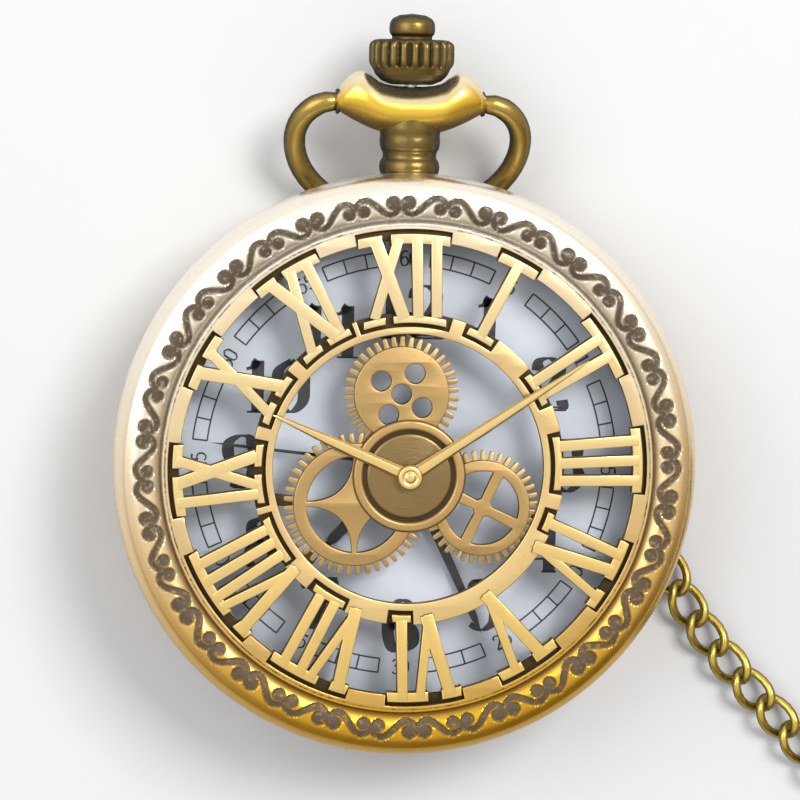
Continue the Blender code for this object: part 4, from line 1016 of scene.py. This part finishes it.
def make_cogs():
    """Three fixed cogs: toothed wheels with a raised face."""
    tree = cog_tree()
    low = 11.38
    top, left, right = (-0.66, 5.78), (-4.05, -2.77), (5.74, -2.93)
    holes = [arc(0.77, 0, 345, 23)]
    for spot in ((-1.58, 0.99), (1.01, 1.59), (1.60, -1.02), (-0.95, -1.60)):
        holes.append(arc(0.77, 0, 345, 23, spot))
    leaves = [leaf_window(3.72, 1.6, start + 3, start + 87) for start in (0, 90, 180, 270)]
    quarters = []
    for k in range(4):
        middle = 20 + 90 * k
        quarters.append(arc(2.85, middle - 36.5, middle + 36.5, 14) + arc(0.72, middle + 14, middle - 14,
                                                                          2))
    wheels = {"top": (top, 38, 4.42, 3.62, holes, 3.66, 0.6),
              "left": (left, 44, 5.5, 4.7, leaves, 4.74, 0.58),
                 "right": (right, 38, 4.42, 3.66, quarters, 3.7, 0.6)}
    for name, (centre, teeth, tip, root, windows, face, share) in wheels.items():
        wheel = tree.grow(cog_blank(windows), TEETH, Teeth=teeth, Tip=tip, Root=root, Thickness=0.32,
                          **{"Tooth Share": share})
        wheel.transform(Matrix.Translation((*centre, low)))
        outlines = [moved(arc(face, 0, 357, 119), centre)] + [moved(window, centre) for window in windows]
        raised = plate(outlines, low + 0.1, low + 0.62, 0.09)
        piece(f"cover_cog_{name}", raised, COG, "front_cover", ["front_cover"], 40)
        piece(f"cover_cog_{name}_teeth", rounded_edges(wheel, 0.04), TEETH, "front_cover",
              ["front_cover"], 40)
    # Ties behind the cogs take the dark trench finish: painted shade.
    ties = []
    for start, end, width in (((-0.95, 9.7), (-0.9, 11.0), 1.1), ((-7.2, -6.6), (-8.3, -7.9), 1.1),
                              ((9.6, -3.6), (11.2, -3.9), 1.1), ((-8.8, -2.6), (-11.1, -2.4), 0.9)):
        ties.append(bar(start, end, width, low - 0.03, low + 0.25))
    piece("cover_ties", gathered(ties), TRENCH, "front_cover", ["front_cover"])


def make_hub():
    ring = [(3.45, 11.3), (4.3, 11.3), (4.36, 12.1), (4.22, 12.32), (3.72, 12.34), (3.56, 12.2),
            (3.5, 11.9)]
    piece("hub_ring", turned_to(lathe(softened(ring, 0.08), 128), "Z", (*HUB, 0)), COG, "front_cover",
          ["front_cover"])
    disc = [(0, 11.3), (3.3, 11.3), (3.3, 12.0), (3.24, 12.14), (3.1, 12.2), (0, 12.24)]
    piece("hub_disc", turned_to(lathe(softened(disc, 0.05), 128), "Z", (*HUB, 0)), HUB_FACE, "front_cover",
          ["front_cover"])
    # The groove is a dark ring: painted shade.
    groove = [(3.25, 12.0), (3.6, 12.0), (3.6, 12.06), (3.25, 12.06)]
    piece("hub_groove", turned_to(lathe(groove, 96), "Z", (*HUB, 0)), TRENCH, "front_cover",
          ["front_cover"])
    cap = [(0, 12.0), (0.5, 12.0), (0.5, 12.86), (0.98, 12.88), (0.98, 13.05), (0.86, 13.22), (0.62, 13.26),
           (0.5, 13.18),
           (0.4, 13.2), (0.3, 13.3), (0, 13.34)]
    piece("hand_cap", turned_to(lathe(softened(cap, 0.05), 48), "Z", (*HUB, 0)), HAND_GILT, "front_cover",
          ["cover_cap"])


def long_hand(tip, low, widest):
    """A slender hand with a ridge along it, from the hub to its tip."""
    away = Vector((tip[0] - HUB[0], tip[1] - HUB[1]))
    mesh = bmesh.new()
    rows = []
    for share, half in ((0.0, 0.55), (0.1, 0.5), (0.25, widest * 0.95), (0.4, widest), (0.6, widest * 0.8),
                        (0.8, widest * 0.5),
                        (0.94, widest * 0.3), (1.0, 0.04)):
        x = away.length * share
        height = 0.26 * max(half / widest, 0.35)
        rows.append([mesh.verts.new(spot)
                     for spot in ((x, -half, low), (x, -half * 0.6, low + height * 0.8),
                                                       (x, 0, low + height),
                                                       (x, half * 0.6, low + height * 0.8),
                                                       (x, half, low))])
    for first, second in zip(rows, rows[1:]):
        for k in range(5):
            mesh.faces.new((first[k - 1], first[k], second[k], second[k - 1]))
    mesh.faces.new(rows[0])
    mesh.faces.new(rows[-1])
    data = as_data(mesh)
    lean = math.atan2(away.y, away.x)
    data.transform(Matrix.Translation((*HUB, 0)) @ Matrix.Rotation(lean, 4, "Z"))
    return gathered([data,
                     turned_to(lathe(softened([(0, low), (0.92, low), (0.92, low + 0.2), (0, low + 0.22)],
                                              0.05), 32),
                                     "Z", (*HUB, 0))])


def make_cover():
    piece("cover_rim", make_rim(), RIM, "front_cover", ["front_cover"], 28)
    outer = plate(notched(18.8, 17.55, 18.42, head_span), 11.3, 12.1, 0.07)
    piece("cover_plate", outer, PLATE, "front_cover", ["front_cover"])
    inner = plate(notched(10.42, 12.06, 10.98, foot_span), 11.28, 12.05, 0.07)
    piece("cover_ring", inner, INNER, "front_cover", ["front_cover"])
    # Dark floors under the gaps beside the plates and pads: painted shade.
    floor = plate([arc(18.75, 0, 357.5, 143), arc(17.58, 0, 357.5, 143)], 11.25, 11.62, 0.03)
    low_floor = plate([arc(12.04, 0, 357.5, 143), arc(10.8, 0, 357.5, 143)], 11.25, 11.62, 0.03)
    piece("cover_trenches", gathered([floor, low_floor]), TRENCH, "front_cover",
          ["front_cover"])
    for hour in NUMERALS:
        piece(f"numeral_{hour:02d}", numeral(hour), FACE, "front_cover", ["front_cover"])
    leaf = plate([[(-1.35, -22.5), (1.35, -22.5), (1.35, -21.9), (-1.35, -21.9)]], 8.0, 9.2, 0.08)
    knuckle = turned_to(lathe(softened([(0, -1.42), (0.45, -1.42), (0.45, 1.42), (0, 1.42)], 0.1), 24), "X",
                        HINGE)
    piece("cover_hinge_leaf", gathered([leaf, knuckle]), BAND, "front_cover", ["front_cover"])
    make_cogs()
    make_hub()
    piece("hour_pointer", long_hand((-10.5, 4.1), 12.4, 0.48), HAND_GILT, "front_cover",
          ["cover_hour_hand"])
    piece("minute_pointer", long_hand((13.6, 8.6), 12.64, 0.44), HAND_GILT, "front_cover",
          ["cover_minute_hand"])


# ---------------------------------------------------------------- dial

# Digits as pen strokes in a box one unit high. The pen is broad on upright strokes and thin on level
# ones, which gives them their weight
DIGITS = {
    "0": [[(0.3, 0.98), (0.08, 0.8), (0.05, 0.5), (0.08, 0.2), (0.3, 0.02), (0.52, 0.2), (0.55, 0.5),
           (0.52, 0.8), (0.3, 0.98)]],
    "1": [[(0.3, 0.0), (0.3, 0.98)], [(0.3, 0.98), (0.2, 0.86), (0.08, 0.82)], [(0.1, 0.01), (0.5, 0.01)]],
    "2": [[(0.1, 0.75), (0.14, 0.93), (0.32, 0.99), (0.5, 0.88), (0.52, 0.7), (0.36, 0.42), (0.16, 0.18),
           (0.06, 0.04)],
          [(0.06, 0.06), (0.56, 0.06)], [(0.06, 0.02), (0.56, 0.02), (0.58, 0.2)]],
    "3": [[(0.1, 0.84), (0.28, 0.98), (0.48, 0.88), (0.46, 0.66), (0.25, 0.54)],
          [(0.25, 0.53), (0.48, 0.44), (0.53, 0.2), (0.32, 0.01), (0.08, 0.12)]],
    "4": [[(0.42, 0.0), (0.42, 0.98)], [(0.42, 0.98), (0.04, 0.3), (0.58, 0.3)],
          [(0.28, 0.01), (0.56, 0.01)]],
    "5": [[(0.5, 0.98), (0.15, 0.92), (0.12, 0.54)], [(0.15, 0.95), (0.48, 0.92)],
          [(0.12, 0.54), (0.32, 0.62), (0.52, 0.48), (0.52, 0.18), (0.3, 0.01), (0.07, 0.12)]],
    "6": [[(0.48, 0.9), (0.3, 0.98), (0.1, 0.76), (0.05, 0.38), (0.14, 0.06), (0.32, 0.01), (0.52, 0.14),
           (0.53, 0.38),
           (0.4, 0.57), (0.24, 0.58), (0.09, 0.44)]],
    "7": [[(0.06, 0.8), (0.06, 0.95), (0.54, 0.95), (0.34, 0.55), (0.24, 0.28), (0.22, 0.0)],
          [(0.08, 0.9), (0.52, 0.93)]],
    "8": [[(0.3, 0.98), (0.14, 0.88), (0.14, 0.66), (0.3, 0.53), (0.5, 0.38), (0.52, 0.14), (0.3, 0.01),
           (0.08, 0.14),
           (0.1, 0.38), (0.3, 0.53), (0.46, 0.68), (0.46, 0.88), (0.3, 0.98)]],
}
DIGITS["9"] = [[(0.6 - x, 1.0 - y) for x, y in stroke] for stroke in DIGITS["6"]]


def pen_stroke(points, size, thin, broad):
    """A flat ribbon drawn with a broad pen."""
    line = [Vector(point) * size for point in (smooth_line(points, 6) if len(points) > 2 else points)]
    mesh = bmesh.new()
    rows = []
    for i, point in enumerate(line):
        along = (line[min(i + 1, len(line) - 1)] - line[max(i - 1, 0)]).normalized()
        half = (thin + (broad - thin) * abs(along.y) ** 1.5) / 2
        side = Vector((along.y, -along.x)) * half
        rows.append([mesh.verts.new((*(point + side * s), 0)) for s in (1, -1)])
    for first, second in zip(rows, rows[1:]):
        mesh.faces.new((first[0], second[0], second[1], first[1]))
    return mesh


def digits(text, size, thin, broad):
    """A number in the dial's figures, centred, as a thin layer of ink."""
    parts = []
    for place, figure in enumerate(text):
        for stroke in DIGITS[figure]:
            mesh = pen_stroke(stroke, size, thin, broad)
            across = (place - (len(text) - 1) / 2) * 0.62 * size - 0.3 * size
            bmesh.ops.translate(mesh, verts=mesh.verts, vec=(across, -size / 2, 0))
            grown = bmesh.ops.extrude_face_region(mesh, geom=list(mesh.faces))
            top = [item for item in grown["geom"] if isinstance(item, bmesh.types.BMVert)]
            bmesh.ops.translate(mesh, verts=top, vec=(0, 0, INK_THICK))
            parts.append(as_data(mesh))
    return gathered(parts)


def make_dial():
    plate_outline = [(0.95, 7.95), (20.2, 7.95), (20.2, 8.25), (0.95, 8.25)]
    piece("dial_plate", lathe(softened(plate_outline, 0.04, 2), 128), DIAL, "case", ["dial"])
    ink = []
    for hour in range(1, 13):
        number = digits(str(hour), 4.1, 0.16, 0.95)
        x, y = polar(12.7 if hour < 10 else 11.8, 90 - 30 * hour)
        number.transform(Matrix.Translation((x, y, INK_LOW)))
        ink.append(number)
        small = digits(str(hour * 5), 1.15, 0.1, 0.16)
        lean = -30 * hour + (180 if 4 < hour < 8 else 0)
        x, y = polar(15.95, 90 - 30 * hour)
        small.transform(Matrix.Translation((x, y, INK_LOW)) @ Matrix.Rotation(math.radians(lean), 4, "Z"))
        ink.append(small)
        for radius in (15.4, 16.5):
            first = 90 - 30 * hour - 6
            track = arc(radius + 0.065, first, first - 18, 12) + arc(radius - 0.065, first - 18, first, 12)
            ink.append(plate([track], 8.244, 8.26, 0.002, 0))
    blank = bpy.data.meshes.new("blank")
    ticks = marks_tree().grow(blank, INK, Count=60, Radius=15.95, Length=1.15, Width=0.13)
    ticks.transform(Matrix.Translation((0, 0, 8.252)) @ Matrix.Rotation(math.pi / 2, 4, "Z"))
    ink.append(ticks)
    piece("dial_print", gathered(ink), INK, "case")


# ---------------------------------------------------------------- crown

def make_crown():
    body = [(0.53, 29.3), (1.6, 29.3), (2.35, 29.6), (2.8, 30.05), (3.0, 30.5), (3.25, 30.85), (3.3, 31.1),
            (3.3, 31.5),
            (3.3, 31.9), (3.3, 32.25), (3.2, 32.5), (2.85, 32.72), (2.3, 32.78), (1.85, 32.75),
            (1.85, 30.6), (0.53, 30.6)]
    blank = lathe(softened(body, 0.12), 352)
    crown = knurl_tree().grow(blank, CROWN, Count=22, Depth=0.32, From=30.55, To=32.62, Inside=2.7)
    piece("crown_wheel", turned_to(crown, "Y", (0, 0, STEM_Z)), CROWN, "crown", ["crown"],
          40)
    button = [(0, 31.5), (1.55, 31.5), (1.55, 33.05), (1.72, 33.15), (1.78, 33.5), (1.75, 34.0),
              (1.55, 34.35), (1.05, 34.62),
              (0, 34.75)]
    piece("button_top", turned_to(lathe(softened(button, 0.15), 64), "Y", (0, 0, STEM_Z)), CROWN, "button",
          ["push_button"])


# ---------------------------------------------------------------- chain

RUN = [(8.5, 19.1), (13.5, 16.0), (18.1, 10.5), (20.6, 4.0), (21.1, -2.0), (21.2, -5.6), (22.2, -9.0),
       (23.9, -12.2),
       (26.2, -15.4), (28.9, -18.5), (31.6, -21.4), (33.6, -23.6), (35.6, -25.6)]


def chain_route():
    """The chain's middle: from the bow, round the case, and three turns of coil that draw in at the end."""
    points = [(6.4, 19.6, 1.5)] + [(x, y, CHAIN_Z) for x, y in RUN]
    first, turns, steps = 212.0, 3.02, 84
    for i in range(1, steps + 1):
        share = i / steps * turns
        if share < 1:
            radius = 16.95 - 2.9 * max(0.0, (share - 0.7) / 0.3)
            height = CHAIN_Z
        elif share < 2:
            radius = 14.05 + 1.45 * max(0.0, (share - 1.75) / 0.25)
            height = CHAIN_Z + 2.35 * max(0.0, (share - 1.75) / 0.25)
        else:
            radius = 15.5 - 1.9 * max(0.0, (share - 2.65) / 0.37)
            height = CHAIN_Z + 2.35
        angle = first + 360 * share
        x, y = polar(radius, angle)
        points.append((x + COIL_AT[0], y + COIL_AT[1], height))
    return points


def make_chain():
    """Curb links of twisted wire along the whole route."""
    wire = []
    for k in range(24):
        t = 2 * math.pi * k / 24
        c, s = math.cos(t), math.sin(t)
        x = 1.87 * math.copysign(abs(c) ** 0.8, c)
        across = 1.2 * math.copysign(abs(s) ** 0.9, s)
        roll = math.radians(48 * x / 1.87)
        wire.append((x, across * math.cos(roll), across * math.sin(roll)))
    link_data = sweep(wire, [LINK_WIRE] * 24, 8, closed=True)
    link = bpy.data.objects.new("link", link_data)
    bpy.context.scene.collection.objects.link(link)
    route = smooth_line(chain_route(), 8)
    length = sum(math.dist(a, b) for a, b in zip(route, route[1:]))
    path = bpy.data.meshes.new("path")
    path.from_pydata(route, [(i, i + 1) for i in range(len(route) - 1)], [])
    count = round(length / LINK_PITCH) + 1
    data = links_tree().grow(path, CHAIN, Link=link, Count=count, Play=0.12, Seed=5)
    bpy.data.objects.remove(link)
    chain = piece("watch_chain", data, CHAIN, "case",
                  ["chain_run", "chain_end", "chain_coil"], 60)
    return chain, route, length


def oval(length, width, centre, start, end, steps):
    points = []
    for i in range(steps + 1):
        x, y = polar(1.0, start + (end - start) * i / steps)
        points.append((centre + x * length, y * width))
    return points


def make_clasp():
    """Spring hook with a sprung lever, its thumb piece and a small ring."""
    turn = Matrix.Translation((48.55, -10.9, 0)) @ Matrix.Rotation(math.radians(-63), 4, "Z")
    body = arc(0.95, 45, 315, 20) + oval(4.9, 3.0, 6.3, 205, 400, 36)
    body += oval(3.5, 1.75, 6.3, 400, 105, 40) + oval(4.9, 3.0, 6.3, 105, 155, 8)
    hook = plate([body, arc(0.45, 0, 345, 23)], 0.72, 1.78, 0.3, 4)
    lever = plate([oval(4.85, 2.95, 6.3, 42, 99, 16) + oval(3.6, 1.85, 6.3, 99, 42, 16)], 0.8, 1.7, 0.28, 4)
    thumb = turned_to(lathe(softened([(0, 0), (0.5, 0), (0.5, 0.55), (0, 0.55)], 0.15), 24), "Z",
                      (7.6, 3.05, 0.98))
    ring = []
    for k in range(32):
        x, z = polar(0.95, 360 * k / 32)
        ring.append((x - 0.85, 0, z + 1.25))
    parts = (("clasp_hook", hook, "case", "clasp_body"), ("clasp_gate", gathered([lever, thumb]),
                                                          "clasp_lever", "clasp_lever"),
             ("clasp_link", sweep(ring, [0.24] * 32, 12, closed=True), "case", "clasp_ring"))
    made = []
    for name, data, body_name, node in parts:
        data.transform(turn)
        made.append(piece(name, data, CHAIN, body_name, [node], 40))
    return made


def finish_inside():
    """Gives the carried-over works their own finishes."""
    finishes = {
        STEEL: ["hinge_pin", "cover_catch", "lift_spring", "rotor", "train_bridge", "bridge_screw_1",
                "bridge_screw_2",
                "strap_screw", "coil_core", "stator", "quartz_can", "battery", "battery_strap", "stem",
                "button_spring",
                "sliding_pinion", "setting_lever"],
        BRASS: ["fifth_wheel", "fourth_wheel", "third_wheel", "centre_wheel", "minute_wheel", "hour_wheel"],
        COPPER: ["coil_winding"], NYLON: ["movement_holder", "main_plate"],
        RUBBER: ["back_gasket", "ic_chip"],
        BOARD: ["circuit_board"], BLACK: ["hour_hand", "minute_hand", "second_hand"],
    }
    for finish, names in finishes.items():
        for name in names:
            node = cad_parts[name]
            node.data.materials.clear()
            node.data.materials.append(finish)


# ---------------------------------------------------------------- table and light

def make_stage():
    data = bpy.data.meshes.new("table")
    data.from_pydata([(-3, -3, 0), (3, -3, 0), (3, 3, 0), (-3, 3, 0)], [], [(0, 1, 2, 3)])
    table = bpy.data.objects.new("table", data)
    bpy.context.scene.collection.objects.link(table)
    data.materials.append(plain("table_top", (0.80, 0.80, 0.80), (0.795, 0.795, 0.795), 0.8, 0.0, 30.0,
                                0.02))
    for name, place, aim, size, power, colour in (
            ("key", (0.30, 0.32, 0.62), (0.0, 0.0, 0.0), 0.30, 3.3, (1.0, 0.985, 0.96)),
            ("fill", (-0.42, 0.22, 0.50), (0.0, 0.0, 0.0), 0.5, 1.6, (0.97, 0.985, 1.0))):
        lamp = bpy.data.lights.new(name, "AREA")
        lamp.size = size
        lamp.energy = power
        lamp.color = colour
        holder = bpy.data.objects.new(name, lamp)
        holder.location = place
        holder.rotation_euler = (Vector(aim) - Vector(place)).to_track_quat("-Z", "Y").to_euler()
        bpy.context.scene.collection.objects.link(holder)


def make_world():
    """A pale studio; what shines in the metal is bright above and behind, and warm and darker in front."""
    world = bpy.data.worlds.new("studio")
    bpy.context.scene.world = world
    world.use_nodes = True
    tree = world.node_tree
    sky = tree.nodes["Background"]
    where = add(tree, "ShaderNodeTexCoord")
    parts = add(tree, "ShaderNodeSeparateXYZ", {0: where.outputs["Generated"]})
    x, y, z = parts.outputs[0], parts.outputs[1], parts.outputs[2]
    side = calc(tree, "SUBTRACT", calc(tree, "MULTIPLY", y, 0.9), calc(tree, "MULTIPLY", x, 0.35))
    lift = calc(tree, "ADD", z, calc(tree, "MULTIPLY", side, 0.75))
    above = ranged(tree, lift, -0.25, 0.85)
    warm = mixed(tree, ranged(tree, lift, -0.5, 0.25), (0.16, 0.10, 0.04, 1), (0.62, 0.52, 0.36, 1))
    shine = mixed(tree, above, warm, (0.98, 0.965, 0.94, 1))
    path = add(tree, "ShaderNodeLightPath")
    colour = mixed(tree, path.outputs["Is Glossy Ray"], (0.52, 0.525, 0.54, 1), shine)
    tree.links.new(colour, sky.inputs[0])


chain, route, chain_length = make_chain()
clasp = make_clasp()
make_case()
make_pendant()
make_bow()
make_cover()
make_dial()
make_crown()
finish_inside()
make_stage()
make_world()
bpy.context.scene.view_settings.view_transform = "Standard"
